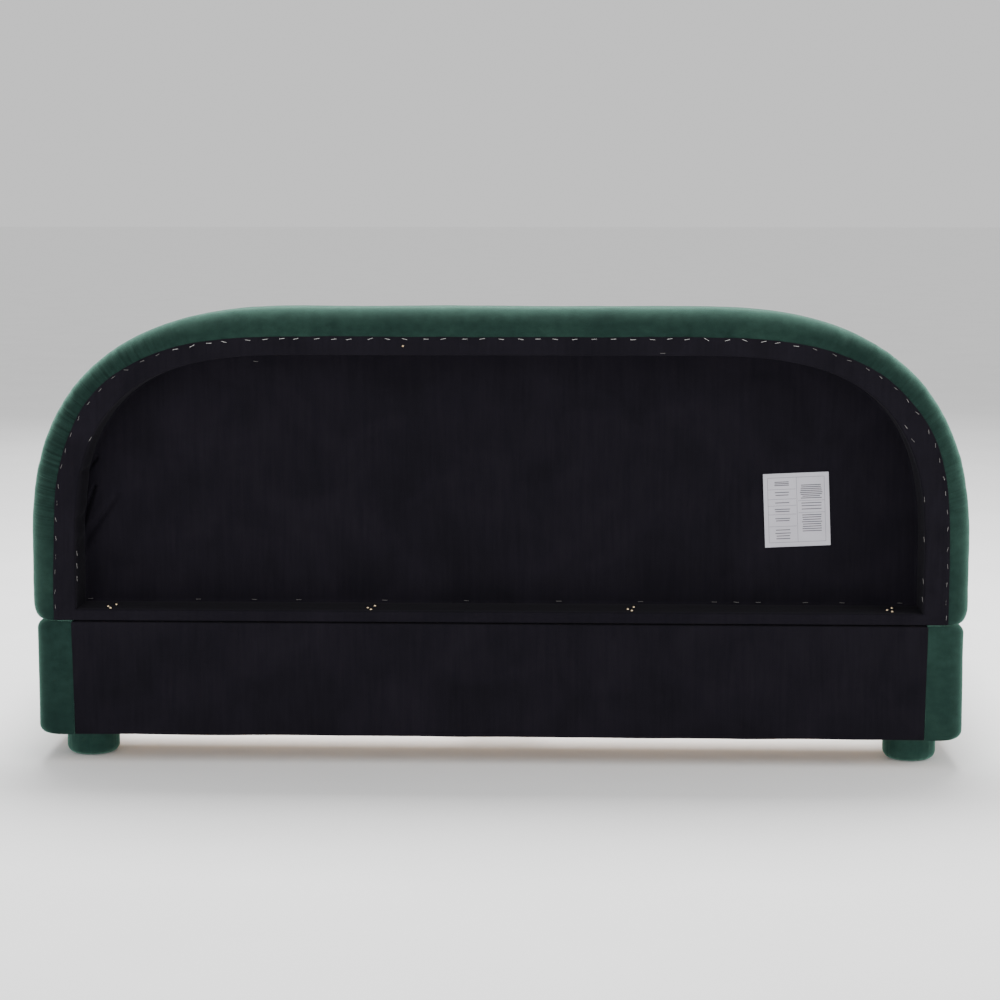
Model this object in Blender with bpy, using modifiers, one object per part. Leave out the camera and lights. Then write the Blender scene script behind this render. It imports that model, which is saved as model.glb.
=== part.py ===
"""Upholstered platform bed with a padded arch headboard, for a 1524 x 2032 mm mattress.

Metres, +Z up. The origin is on the floor under the middle of the bed. The headboard is at +Y and its
open back looks along +Y; the foot rail is at -Y. Each piece is one object, and touching pieces keep a
gap of 0.3 mm. "Depth" below is a distance in from the rearmost plane, towards the foot rail.
"""

import math

import bmesh
import bpy
from mathutils import Matrix, Vector

# Driving dimensions
LENGTH = 2.280
BASE_WIDTH = 1.680
HEADBOARD_WIDTH = 1.698
HEIGHT = 0.8275
BASE_BOTTOM = 0.052
BASE_TOP = 0.2615
HEADBOARD_DEPTH = 0.160
RECESS_DEPTH = 0.099
FOOT_RADIUS = 0.0485
FOOT_INSET_X = 0.0852
FOOT_INSET_Y = 0.094
SLAT_COUNT = 11
LEVELLER_TRAVEL_UP = 0.010

# Material thicknesses
GAP = 0.0003
VELVET = 0.0018
CAMBRIC = 0.0010
RAIL_PADDING = 0.035
BOARD = 0.030
PLYWOOD = 0.018
PANEL = 0.009

# Arch of the headboard: straight sides, superellipse corners and a flat top
SHOULDER_X = 0.340
SHOULDER_Z = 0.370
ARCH_BOTTOM = 0.2632
CORNER_STEPS = 12
OUTLINE_POWER = 2.63
FRAME_POWER = 2.93
RECESS_HALF_WIDTH = 0.765
RECESS_TOP = 0.746
STAPLE_HALF_WIDTH = 0.8045
STAPLE_TOP = 0.7775
FRAME_HALF_WIDTH = 0.806
FRAME_TOP = 0.779
FRONT_HALF_WIDTH = 0.801
FRONT_TOP = 0.7785
REAR_ROLL = 0.048
FRONT_ROLL = 0.050
ROLL_STEPS = 4

# Depths of the headboard's layers
BACK_CLOTH_DEPTH = 0.0008
FRAME_DEPTH = VELVET + 2 * GAP
PANEL_DEPTH = RECESS_DEPTH + CAMBRIC + GAP
FOAM_DEPTH = PANEL_DEPTH + PANEL + GAP
PADDING_CLEARANCE = 0.0042
HEM = 0.035

# Planes shared by the base pieces
REAR_Y = LENGTH / 2
FRONT_Y = -LENGTH / 2
HALF_BASE = BASE_WIDTH / 2
RAIL_INNER_X = HALF_BASE - VELVET - 2 * GAP - RAIL_PADDING - BOARD
RAIL_OUTER_X = RAIL_INNER_X + BOARD
RAIL_COVER_X = RAIL_INNER_X - GAP - VELVET
REAR_CORNER_RADIUS = 0.030
BOARD_BOTTOM = BASE_BOTTOM + 0.0025
BOARD_TOP = BASE_TOP - 0.0025
HEAD_BOX_DEPTH = 0.148
HEAD_BOX_HALF_LENGTH = RAIL_COVER_X - GAP
HEAD_BOX_FRONT_FACE = HEAD_BOX_DEPTH - VELVET - 2 * GAP
TURN_DOWN_BOTTOM = 0.2000
FOOT_RAIL_INNER_Y = FRONT_Y + VELVET + 2 * GAP + RAIL_PADDING + BOARD
FOOT_RAIL_OUTER_Y = FOOT_RAIL_INNER_Y - BOARD
CORNER_RADIUS = 0.0375
SIDE_RAIL_LOW_Y = FOOT_RAIL_INNER_Y + VELVET + 5 * GAP

# Slat deck
CLEAT_TOP = 0.185
CLEAT_HEIGHT = 0.030
CLEAT_WIDTH = 0.028
SLAT_WIDTH = 0.090
SLAT_THICKNESS = 0.018
SLAT_HALF_LENGTH = RAIL_INNER_X - 0.0060
FIRST_SLAT_Y = -1.020
LAST_SLAT_Y = 0.930
SLAT_BOTTOM = CLEAT_TOP + GAP
BEAM_WIDTH = 0.035
BEAM_HEIGHT = 0.050
BEAM_BOTTOM = CLEAT_TOP - BEAM_HEIGHT
CENTRE_LEG_YS = (-0.360, 0.330)

# Hardware
BRACKET_LEG = 0.060
BRACKET_THICKNESS = 0.003
BRACKET_BOTTOM = 0.085
BRACKET_TOP = 0.150
BOLT_HOLE_RADIUS = 0.0033
FOOT_TOP = 0.0512
FOOT_BLOCK_TOP = BOARD_BOTTOM + PLYWOOD
FOOT_STEPS = 20
LEG_STEPS = 16
HOLE_STEPS = 10

parts = bpy.data.collections.new("upholstered_bed")
cutters = bpy.data.collections.new("cutters")


def rear(depth):
    """The Y of a plane this deep behind the rearmost one."""
    return REAR_Y - depth


# ---------------------------------------------------------------- materials


def material(name, colour, roughness, metallic=0.0):
    made = bpy.data.materials.new(name)
    made.use_nodes = True
    shader = made.node_tree.nodes["Principled BSDF"]
    shader.inputs["Base Color"].default_value = (*colour, 1.0)
    shader.inputs["Roughness"].default_value = roughness
    shader.inputs["Metallic"].default_value = metallic
    return made


def make_materials():
    return {
        "velvet": material("green_velvet", (0.028, 0.085, 0.062), 0.85),
        "cambric": material("black_cambric", (0.012, 0.012, 0.015), 0.95),
        "foam": material("cream_foam", (0.78, 0.72, 0.50), 0.90),
        "pine": material("pine", (0.62, 0.44, 0.25), 0.60),
        "plywood": material("plywood", (0.58, 0.42, 0.26), 0.65),
        "steel": material("black_steel", (0.05, 0.05, 0.055), 0.45, 1.0),
        "plastic": material("black_plastic", (0.02, 0.02, 0.02), 0.50),
        "label": material("white_label", (0.70, 0.70, 0.72), 0.80),
    }


# ------------------------------------------------------------ object makers


def place(obj, name, look, collection=parts):
    obj.name = name
    obj.data.name = name
    if look is not None:
        obj.data.materials.clear()
        obj.data.materials.append(look)
    collection.objects.link(obj)
    return obj


def as_helper(obj):
    """Marks a cutter, so that it is no part of the bed."""
    obj.hide_render = True
    obj.display_type = "WIRE"
    return obj


def mesh_from(bm, name):
    mesh = bpy.data.meshes.new(name)
    bm.to_mesh(mesh)
    bm.free()
    return mesh


def mesh_object(name, mesh, look, collection=parts):
    return place(bpy.data.objects.new(name, mesh), name, look, collection)


def cube_mesh(name, size):
    bm = bmesh.new()
    bmesh.ops.create_cube(bm, size=1.0)
    bmesh.ops.scale(bm, vec=Vector(size), verts=bm.verts)
    return mesh_from(bm, name)


def chamfered(obj, width):
    bevel = obj.modifiers.new("Bevel", "BEVEL")
    bevel.width = width
    bevel.segments = 1
    bevel.limit_method = "ANGLE"
    return obj


def box(name, low, high, look):
    low, high = Vector(low), Vector(high)
    obj = mesh_object(name, cube_mesh(name, high - low), look)
    obj.location = (low + high) / 2
    return obj


def mirrored_box(name, side, low, high, look):
    """A box given for the bed's left (+X); side -1 puts it on the right."""
    xs = sorted((side * low[0], side * high[0]))
    return box(name, (xs[0], *low[1:]), (xs[1], *high[1:]), look)


def prism_mesh(name, points, push):
    """The mesh of a ring of points pushed along a vector."""
    bm = bmesh.new()
    face = bm.faces.new([bm.verts.new(p) for p in points])
    grown = bmesh.ops.extrude_face_region(bm, geom=[face])["geom"]
    moved = [item for item in grown if isinstance(item, bmesh.types.BMVert)]
    bmesh.ops.translate(bm, verts=moved, vec=push)
    bmesh.ops.recalc_face_normals(bm, faces=bm.faces)
    return mesh_from(bm, name)


def upright_plate(name, outline, near_depth, far_depth, look):
    """An XZ outline, as a filled flat curve between two depths."""
    curve = bpy.data.curves.new(name, "CURVE")
    curve.dimensions = "2D"
    curve.fill_mode = "BOTH"
    curve.extrude = (far_depth - near_depth) / 2
    spline = curve.splines.new("POLY")
    spline.points.add(len(outline) - 1)
    for point, (x, z) in zip(spline.points, outline):
        point.co = (x, z, 0.0, 1.0)
    spline.use_cyclic_u = True
    obj = place(bpy.data.objects.new(name, curve), name, look)
    obj.rotation_euler = (math.radians(90), 0, 0)
    obj.location = (0, rear((near_depth + far_depth) / 2), 0)
    return obj


def loft(name, rows, look, closed=False, cap_first=False, cap_last=False):
    """A surface through rows of points, each row with as many points as the next."""
    bm = bmesh.new()
    grid = [[bm.verts.new(p) for p in row] for row in rows]
    across = len(grid[0]) if closed else len(grid[0]) - 1
    for near, far in zip(grid, grid[1:]):
        for j in range(across):
            k = (j + 1) % len(near)
            bm.faces.new((near[j], near[k], far[k], far[j]))
    if cap_first:
        bm.faces.new(reversed(grid[0]))
    if cap_last:
        bm.faces.new(grid[-1])
    return mesh_object(name, mesh_from(bm, name), look)


def solid_loft(name, rings, look):
    """A closed body through closed rings, with a face on the first and on the last."""
    obj = loft(name, rings, look, closed=True, cap_first=True, cap_last=True)
    bm = bmesh.new()
    bm.from_mesh(obj.data)
    bmesh.ops.recalc_face_normals(bm, faces=bm.faces)
    bm.to_mesh(obj.data)
    bm.free()
    return obj


def cloth(obj, thickness):
    """Gives an open surface its thickness, on the side that its normals point away from."""
    solidify = obj.modifiers.new("Solidify", "SOLIDIFY")
    solidify.thickness = thickness
    solidify.offset = -1
    solidify.solidify_mode = "NON_MANIFOLD"
    solidify.nonmanifold_thickness_mode = "CONSTRAINTS"
    return obj


def turned(name, profile, look, steps):
    """A profile of (radius, height) turned about Z, outer side first from the top."""
    bm = bmesh.new()
    ring = [bm.verts.new((r, 0, z)) for r, z in profile]
    for a, b in zip(ring, ring[1:]):
        bm.edges.new((a, b))
    if profile[0][0] > 0:
        bm.edges.new((ring[-1], ring[0]))
    obj = mesh_object(name, mesh_from(bm, name), look)
    screw = obj.modifiers.new("Screw", "SCREW")
    screw.steps = steps
    screw.render_steps = steps
    screw.use_merge_vertices = True
    screw.merge_threshold = 0.00005
    screw.use_smooth_shade = True
    return obj


def rods_cutter(name, radius, ends):
    """One cutter made of a rod between each pair of points."""
    bm = bmesh.new()
    for start, end in ends:
        start, end = Vector(start), Vector(end)
        along = end - start
        turn = along.to_track_quat("Z", "Y").to_matrix().to_4x4()
        bmesh.ops.create_cone(
            bm,
            cap_ends=True,
            segments=HOLE_STEPS,
            radius1=radius,
            radius2=radius,
            depth=along.length,
            matrix=Matrix.Translation((start + end) / 2) @ turn,
        )
    return as_helper(mesh_object(name, mesh_from(bm, name), None, cutters))


def combined(obj, other, operation):
    boolean = obj.modifiers.new(operation.title(), "BOOLEAN")
    boolean.operation = operation
    boolean.solver = "EXACT"
    boolean.object = other
    return obj


# ------------------------------------------------------------------ outlines


def arch(half_width, top, power, bottom=ARCH_BOTTOM):
    """(x, z) points of an inverted U, from its foot at +X over the top to its foot at -X."""
    right = [(half_width, bottom)]
    for step in range(CORNER_STEPS + 1):
        angle = math.radians(90) * step / CORNER_STEPS
        across = max(math.cos(angle), 0.0) ** (2 / power)
        upward = math.sin(angle) ** (2 / power)
        x = SHOULDER_X + (half_width - SHOULDER_X) * across
        z = SHOULDER_Z + (top - SHOULDER_Z) * upward
        right.append((x, z))
    return right + [(-x, z) for x, z in reversed(right)]


def outline_arch(inset=0.0, bottom=ARCH_BOTTOM):
    return arch(HEADBOARD_WIDTH / 2 - inset, HEIGHT - inset, OUTLINE_POWER, bottom)


def front_arch(bottom=ARCH_BOTTOM):
    return arch(FRONT_HALF_WIDTH, FRONT_TOP, OUTLINE_POWER, bottom)


def staple_arch(inset=0.0):
    return arch(STAPLE_HALF_WIDTH - inset, STAPLE_TOP - inset, FRAME_POWER)


def frame_arch(outset=0.0):
    return arch(FRAME_HALF_WIDTH + outset, FRAME_TOP + outset, FRAME_POWER)


def recess_arch(outset=0.0, bottom=ARCH_BOTTOM):
    return arch(RECESS_HALF_WIDTH + outset, RECESS_TOP + outset, FRAME_POWER, bottom)


def at_depth(points, depth):
    return [(x, rear(depth), z) for x, z in points]


def between(points_a, points_b, share):
    return [
        (xa + (xb - xa) * share, za + (zb - za) * share)
        for (xa, za), (xb, zb) in zip(points_a, points_b)
    ]


def roll_rows(edge, face, edge_depth, face_depth):
    """Rows of a quarter-ellipse roll, from the edge outline over to the face outline."""
    rows = []
    for step in range(ROLL_STEPS + 1):
        angle = math.radians(90) * step / ROLL_STEPS
        points = between(edge, face, 1 - math.cos(angle))
        rows.append(at_depth(points, edge_depth + (face_depth - edge_depth) * math.sin(angle)))
    return rows


def rounded_path(points, radii, steps=2):
    """An open path whose inner corners are arcs of the given radii."""
    path = [Vector(points[0])]
    for before, corner, after, radius in zip(points, points[1:], points[2:], radii):
        corner = Vector(corner)
        to_before = (Vector(before) - corner).normalized()
        to_after = (Vector(after) - corner).normalized()
        half = to_before.angle(to_after) / 2
        reach = radius / math.tan(half)
        centre = corner + (to_before + to_after).normalized() * (radius / math.sin(half))
        start, end = corner + to_before * reach, corner + to_after * reach
        for step in range(steps + 1):
            spoke = (start - centre).lerp(end - centre, step / steps)
            path.append(centre + spoke.normalized() * radius)
    path.append(Vector(points[-1]))
    return [tuple(p) for p in path]


# ----------------------------------------------------------------- headboard


def make_headboard_frame(looks):
    """Two curved plywood ribs, a rail between them, a ledge under them and a panel in front."""
    outer = frame_arch()
    inner = recess_arch(CAMBRIC + GAP, ARCH_BOTTOM + PLYWOOD + GAP)
    outer[0], outer[-1] = (outer[0][0], inner[0][1]), (outer[-1][0], inner[0][1])
    half = len(outer) // 2
    frame_back = RECESS_DEPTH + CAMBRIC
    for side, name in ((1, "left"), (-1, "right")):
        outline = [(side * x, z) for x, z in outer[:half] + inner[:half][::-1]]
        upright_plate(f"headboard_rib_{name}", outline, FRAME_DEPTH, frame_back, looks["plywood"])
    box(
        "headboard_top_rail",
        (-SHOULDER_X + GAP, rear(frame_back), inner[half - 1][1]),
        (SHOULDER_X - GAP, rear(FRAME_DEPTH), outer[half - 1][1]),
        looks["pine"],
    )
    box(
        "headboard_ledge_board",
        (-FRAME_HALF_WIDTH, rear(frame_back), ARCH_BOTTOM),
        (FRAME_HALF_WIDTH, rear(FRAME_DEPTH), ARCH_BOTTOM + PLYWOOD),
        looks["plywood"],
    )
    upright_plate("headboard_panel", frame_arch(), PANEL_DEPTH, PANEL_DEPTH + PANEL, looks["plywood"])


def make_headboard_padding(looks):
    """A foam band round the frame's edge, and a foam slab over its front."""
    bottom = ARCH_BOTTOM + VELVET + GAP
    outer = outline_arch(PADDING_CLEARANCE, bottom)
    inner = frame_arch(GAP)
    inner[0], inner[-1] = (inner[0][0], bottom), (inner[-1][0], bottom)
    start, crest, end = FRAME_DEPTH + 0.003, REAR_ROLL + 0.004, FOAM_DEPTH - GAP
    rows = [at_depth(inner, end), at_depth(outer, end)]
    rows += roll_rows(outer, between(inner, outer, 0.02), crest, start)
    solid_loft("headboard_edge_foam", [list(ring) for ring in zip(*rows)], looks["foam"])

    face_depth = HEADBOARD_DEPTH - VELVET - 0.001
    rows = [at_depth(outer, FOAM_DEPTH)]
    rows += roll_rows(outer, front_arch(bottom), FOAM_DEPTH + 0.002, face_depth)
    solid_loft("headboard_front_foam", rows, looks["foam"])


def make_headboard_cover(looks):
    """Velvet from the staple line round the edge and over the front, turned in at the bottom."""
    rows = roll_rows(outline_arch(), staple_arch(), REAR_ROLL, 0.0)[::-1]
    rows += roll_rows(outline_arch(), front_arch(), HEADBOARD_DEPTH - FRONT_ROLL, HEADBOARD_DEPTH)
    cover = loft("headboard_velvet_cover", rows, looks["velvet"], cap_last=True)
    bm = bmesh.new()
    bm.from_mesh(cover.data)
    front_feet = [v for v in bm.verts if v.co.y < rear(HEADBOARD_DEPTH - 0.0001)]
    front_feet = sorted(front_feet, key=lambda v: v.co.z)[:2]
    hem = [bm.verts.new(v.co + Vector((0, HEM, 0))) for v in front_feet]
    bm.faces.new((front_feet[0], front_feet[1], hem[1], hem[0]))
    bmesh.ops.recalc_face_normals(bm, faces=bm.faces)
    bm.to_mesh(cover.data)
    bm.free()
    return cloth(cover, VELVET)


def make_headboard_dust_cover(looks):
    """Black cloth over the rim, down the walls and over the back of the recess."""
    ledge_top = ARCH_BOTTOM + PLYWOOD + GAP + CAMBRIC
    recess = recess_arch(0.0, ledge_top)
    rows = [
        at_depth(staple_arch(2 * GAP), BACK_CLOTH_DEPTH),
        at_depth(recess, BACK_CLOTH_DEPTH),
        at_depth(recess, RECESS_DEPTH),
    ]
    rows = [row[::-1] for row in rows]
    cover = loft("headboard_dust_cover", rows, looks["cambric"], closed=True, cap_last=True)
    return cloth(cover, CAMBRIC)


def make_label(looks):
    label = box("care_label", (-0.0595, -0.00025, -0.0675), (0.0595, 0.00025, 0.0675), looks["label"])
    label.location = (-0.543, rear(RECESS_DEPTH - GAP - 0.00025), 0.458)
    label.rotation_euler = (0, math.radians(2.6), 0)


# ------------------------------------------------------- rail under the headboard


def make_head_rail(looks):
    """A box beam between the side rails: two upright boards and one across their tops."""
    half = HEAD_BOX_HALF_LENGTH
    rear_front, front_back = FRAME_DEPTH + PLYWOOD, HEAD_BOX_FRONT_FACE - PLYWOOD
    spans = (
        ("rear", rear_front, FRAME_DEPTH, BOARD_BOTTOM),
        ("front", HEAD_BOX_FRONT_FACE, front_back, BOARD_BOTTOM),
        ("top", front_back - GAP, rear_front + GAP, BOARD_TOP - PLYWOOD),
    )
    for name, deep, shallow, bottom in spans:
        low, high = (-half, rear(deep), bottom), (half, rear(shallow), BOARD_TOP)
        box(f"head_rail_{name}_board", low, high, looks["plywood"])
    box(
        "head_rail_dust_cover",
        (-half, rear(BACK_CLOTH_DEPTH + CAMBRIC), BOARD_BOTTOM - 0.001),
        (half, rear(BACK_CLOTH_DEPTH), BOARD_TOP),
        looks["cambric"],
    )
    fold = [
        (rear(0.100), BASE_TOP),
        (rear(HEAD_BOX_DEPTH), BASE_TOP),
        (rear(HEAD_BOX_DEPTH), TURN_DOWN_BOTTOM),
    ]
    path = rounded_path(fold, [0.0028])
    rows = [[(x, y, z) for y, z in path] for x in (-half, half)]
    cloth(loft("head_rail_velvet_strip", rows, looks["velvet"]), VELVET)


# --------------------------------------------------------------------- rails


def cover_section(hem):
    """(distance in from the outer face, z) of a rail's velvet, from its inner hem over the top."""
    thickness = HALF_BASE - RAIL_COVER_X
    return rounded_path(
        [(thickness, hem), (thickness, BASE_TOP), (0, BASE_TOP), (0, BASE_BOTTOM), (0.037, BASE_BOTTOM)],
        [0.0028, 0.016, 0.014],
    )


def foam_section():
    """(distance in from the outer face, z) of the foam on a rail."""
    inner, outer = HALF_BASE - RAIL_OUTER_X - GAP, VELVET + GAP
    top, bottom = BOARD_TOP - GAP, BOARD_BOTTOM
    return rounded_path(
        [(inner, top), (outer, top), (outer, bottom), (inner, bottom)],
        [0.0145, 0.0125],
    )


def rear_corner_stations():
    """(y, share of the padding's width) at steps round a side rail's rear corner."""
    pivot = HALF_BASE - RAIL_OUTER_X
    for step in range(ROLL_STEPS + 1):
        angle = math.radians(90) * step / ROLL_STEPS
        y = rear(REAR_CORNER_RADIUS * (1 - math.sin(angle)))
        yield y, 1 - REAR_CORNER_RADIUS * (1 - math.cos(angle)) / pivot


def side_rail_row(section, side, y, share):
    """One cross-section of a side rail, its padding squeezed to a share of its width."""
    row = []
    for distance, z in section:
        x = HALF_BASE - distance
        if x > RAIL_OUTER_X:
            x = RAIL_OUTER_X + (x - RAIL_OUTER_X) * share
        row.append((side * x, y, z))
    return row


def make_side_rails(looks):
    """Full-length rails: a board, foam outside it, and velvet that closes the rear end."""
    low_y, board_rear_y = SIDE_RAIL_LOW_Y, rear(FRAME_DEPTH)
    wrap_y = rear(HEAD_BOX_FRONT_FACE - 0.004)
    for side, name in ((1, "left"), (-1, "right")):
        mirrored_box(
            f"side_rail_board_{name}",
            side,
            (RAIL_INNER_X, low_y, BOARD_BOTTOM),
            (RAIL_OUTER_X, board_rear_y, BOARD_TOP),
            looks["pine"],
        )
        rings = [side_rail_row(foam_section(), side, low_y, 1)]
        for y, share in rear_corner_stations():
            rings.append(side_rail_row(foam_section(), side, y - FRAME_DEPTH, share))
        solid_loft(f"side_rail_foam_{name}", rings, looks["foam"])

        short, full = cover_section(TURN_DOWN_BOTTOM), cover_section(BOARD_BOTTOM)
        rows = [side_rail_row(short, side, y, 1) for y in (low_y, wrap_y)]
        rows.append(side_rail_row(full, side, wrap_y + 0.003, 1))
        rows += [side_rail_row(full, side, y, share) for y, share in rear_corner_stations()]
        if side < 0:
            rows = [row[::-1] for row in rows]
        cover = loft(f"side_rail_cover_{name}", rows, looks["velvet"], cap_last=True)
        cloth(cover, VELVET)

        cleat = mirrored_box(
            f"slat_cleat_{name}",
            side,
            (RAIL_INNER_X - GAP - CLEAT_WIDTH, low_y + 0.004, CLEAT_TOP - CLEAT_HEIGHT),
            (RAIL_INNER_X - GAP, rear(HEAD_BOX_DEPTH + 0.006), CLEAT_TOP),
            looks["pine"],
        )
        chamfered(cleat, 0.0015)


def foot_rail_path(inset, end_y):
    """Plan path round the foot rail at this inset, from its end at +X to its end at -X."""
    half, front = HALF_BASE - inset, FRONT_Y + inset
    radius = max(CORNER_RADIUS - inset, 0.0005)
    corners = [(half, end_y), (half, front), (-half, front), (-half, end_y)]
    return rounded_path(corners, [radius, radius], 6)


def make_foot_rail(looks):
    box(
        "foot_rail_board",
        (-RAIL_OUTER_X, FOOT_RAIL_OUTER_Y, BOARD_BOTTOM),
        (RAIL_OUTER_X, FOOT_RAIL_INNER_Y, BOARD_TOP),
        looks["pine"],
    )
    section = foam_section()
    paths = [foot_rail_path(inset, FOOT_RAIL_INNER_Y) for inset, _ in section]
    rings = [
        [(x, y, z) for (x, y), (_, z) in zip(station, section)] for station in zip(*paths)
    ]
    solid_loft("foot_rail_foam", rings, looks["foam"])

    end_y = FOOT_RAIL_INNER_Y + VELVET + 4 * GAP
    rows = []
    for inset, z in cover_section(TURN_DOWN_BOTTOM):
        rows.append([(x, y, z) for x, y in foot_rail_path(inset, end_y)])
    cloth(loft("foot_rail_cover", rows, looks["velvet"]), VELVET)


# ---------------------------------------------------------------- slat deck


def make_slats(looks):
    mesh = cube_mesh("slat", (2 * SLAT_HALF_LENGTH, SLAT_WIDTH, SLAT_THICKNESS))
    pitch = (LAST_SLAT_Y - FIRST_SLAT_Y) / (SLAT_COUNT - 1)
    for i in range(SLAT_COUNT):
        slat = mesh_object(f"slat_{i + 1:02d}", mesh, looks["pine"])
        slat.location = (0, FIRST_SLAT_Y + pitch * i, SLAT_BOTTOM + SLAT_THICKNESS / 2)
        chamfered(slat, 0.002)


def make_centre_beam(looks):
    """A beam under the slats, in a steel hanger at each end."""
    foot_y, head_y = FOOT_RAIL_INNER_Y + GAP, rear(HEAD_BOX_FRONT_FACE) - GAP
    plate = 0.0025
    beam = box(
        "centre_beam",
        (-BEAM_WIDTH / 2, foot_y + plate + GAP, BEAM_BOTTOM),
        (BEAM_WIDTH / 2, head_y - plate - GAP, CLEAT_TOP),
        looks["pine"],
    )
    chamfered(beam, 0.0015)

    near, far = BEAM_WIDTH / 2 + GAP, BEAM_WIDTH / 2 + GAP + plate
    low, high = BEAM_BOTTOM - GAP, CLEAT_TOP - 0.015
    channel = [
        (-far, low - plate),
        (far, low - plate),
        (far, high),
        (near, high),
        (near, low),
        (-near, low),
        (-near, high),
        (-far, high),
    ]
    for y, way, name in ((foot_y, 1, "foot"), (head_y, -1, "head")):
        ys = sorted((y, y + way * plate))
        hanger = box(
            f"beam_hanger_{name}",
            (-0.040, ys[0], BEAM_BOTTOM - 0.020),
            (0.040, ys[1], CLEAT_TOP - 0.006),
            looks["steel"],
        )
        ring = [(x, y + way * plate / 2, z) for x, z in channel]
        saddle = prism_mesh(f"saddle_{name}", ring, (0, way * 0.040, 0))
        combined(hanger, as_helper(mesh_object(f"saddle_{name}", saddle, None, cutters)), "UNION")


def make_centre_legs(looks):
    """Two plastic legs under the beam, each with a screw foot that moves in its bore."""
    top, bottom, bore = BEAM_BOTTOM - GAP, 0.0220, 0.0045
    leg_profile = [
        (0, top),
        (0.030, top),
        (0.030, top - 0.006),
        (0.022, top - 0.012),
        (0.019, bottom + 0.002),
        (0.017, bottom),
        (bore, bottom),
        (bore, bottom + 0.055),
        (0, bottom + 0.055),
    ]
    stem, pad_top = bore - GAP, bottom - LEVELLER_TRAVEL_UP - 0.002
    foot_profile = [
        (0, bottom + 0.034),
        (stem - 0.001, bottom + 0.034),
        (stem, bottom + 0.033),
        (stem, pad_top),
        (0.009, pad_top),
        (0.0095, pad_top - 0.004),
        (0.018, 0.0040),
        (0.019, 0.0030),
        (0.019, 0.0008),
        (0.0182, 0),
        (0, 0),
    ]
    for y, name in zip(CENTRE_LEG_YS, ("foot_side", "head_side")):
        turned(f"centre_leg_{name}", leg_profile, looks["plastic"], LEG_STEPS).location.y = y
        turned(f"leveller_{name}", foot_profile, looks["steel"], LEG_STEPS).location.y = y


# --------------------------------------------------------- feet and brackets


def foot_spots():
    x = HALF_BASE - FOOT_INSET_X
    return (
        ("head_left", (x, rear(FOOT_INSET_Y), 0)),
        ("head_right", (-x, rear(FOOT_INSET_Y), 0)),
        ("foot_left", (x, FRONT_Y + FOOT_INSET_Y, 0)),
        ("foot_right", (-x, FRONT_Y + FOOT_INSET_Y, 0)),
    )


def make_feet(looks):
    """Round feet: a core with a moulded-in stud and a glide face, in a velvet sleeve."""
    radius, stud, neck = FOOT_RADIUS - VELVET - GAP, 0.0040, 0.0240
    top, glide = FOOT_TOP - VELVET - GAP, 0.0230
    base = 0.0008 + VELVET + GAP
    shoulder = rounded_path(
        [(neck, top), (radius, top), (radius, base), (glide, base)],
        [0.0045, 0.0125],
    )
    core_profile = [
        (0, FOOT_BLOCK_TOP - 0.001),
        (stud, FOOT_BLOCK_TOP - 0.001),
        (stud, BOARD_BOTTOM - GAP),
        (neck, BOARD_BOTTOM - GAP),
        *shoulder,
        (glide - 0.001, 0),
        (0, 0),
    ]
    hole, hem = neck + 0.0015, glide + 0.0012
    outer = rounded_path(
        [(hole, FOOT_TOP), (FOOT_RADIUS, FOOT_TOP), (FOOT_RADIUS, 0.0008), (hem, 0.0008)],
        [0.0065, 0.0145],
    )
    inner = rounded_path(
        [
            (hem, 0.0008 + VELVET),
            (FOOT_RADIUS - VELVET, 0.0008 + VELVET),
            (FOOT_RADIUS - VELVET, FOOT_TOP - VELVET),
            (hole, FOOT_TOP - VELVET),
        ],
        [0.0127, 0.0047],
    )
    for name, spot in foot_spots():
        core = turned(f"foot_core_{name}", core_profile, looks["plastic"], FOOT_STEPS)
        sleeve = turned(f"foot_sleeve_{name}", outer + inner, looks["velvet"], FOOT_STEPS)
        core.location = sleeve.location = spot


def make_corner_blocks(looks):
    """The plywood blocks in the corners that the feet's studs screw into."""
    rods = [((x, y, BASE_BOTTOM), (x, y, 0.10)) for _, (x, y, _) in foot_spots()]
    holes = rods_cutter("stud_holes", 0.0043, rods)
    head = (rear(HEAD_BOX_FRONT_FACE - PLYWOOD - GAP), rear(FRAME_DEPTH + PLYWOOD + GAP))
    foot = (FOOT_RAIL_INNER_Y + GAP, FOOT_RAIL_INNER_Y + 0.120)
    for end, (low_y, high_y), outer_x in (
        ("head", head, HEAD_BOX_HALF_LENGTH),
        ("foot", foot, RAIL_INNER_X - GAP),
    ):
        for side, name in ((1, "left"), (-1, "right")):
            block = mirrored_box(
                f"corner_block_{end}_{name}",
                side,
                (outer_x - 0.110, low_y, BOARD_BOTTOM),
                (outer_x, high_y, FOOT_BLOCK_TOP),
                looks["plywood"],
            )
            combined(block, holes, "DIFFERENCE")


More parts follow.
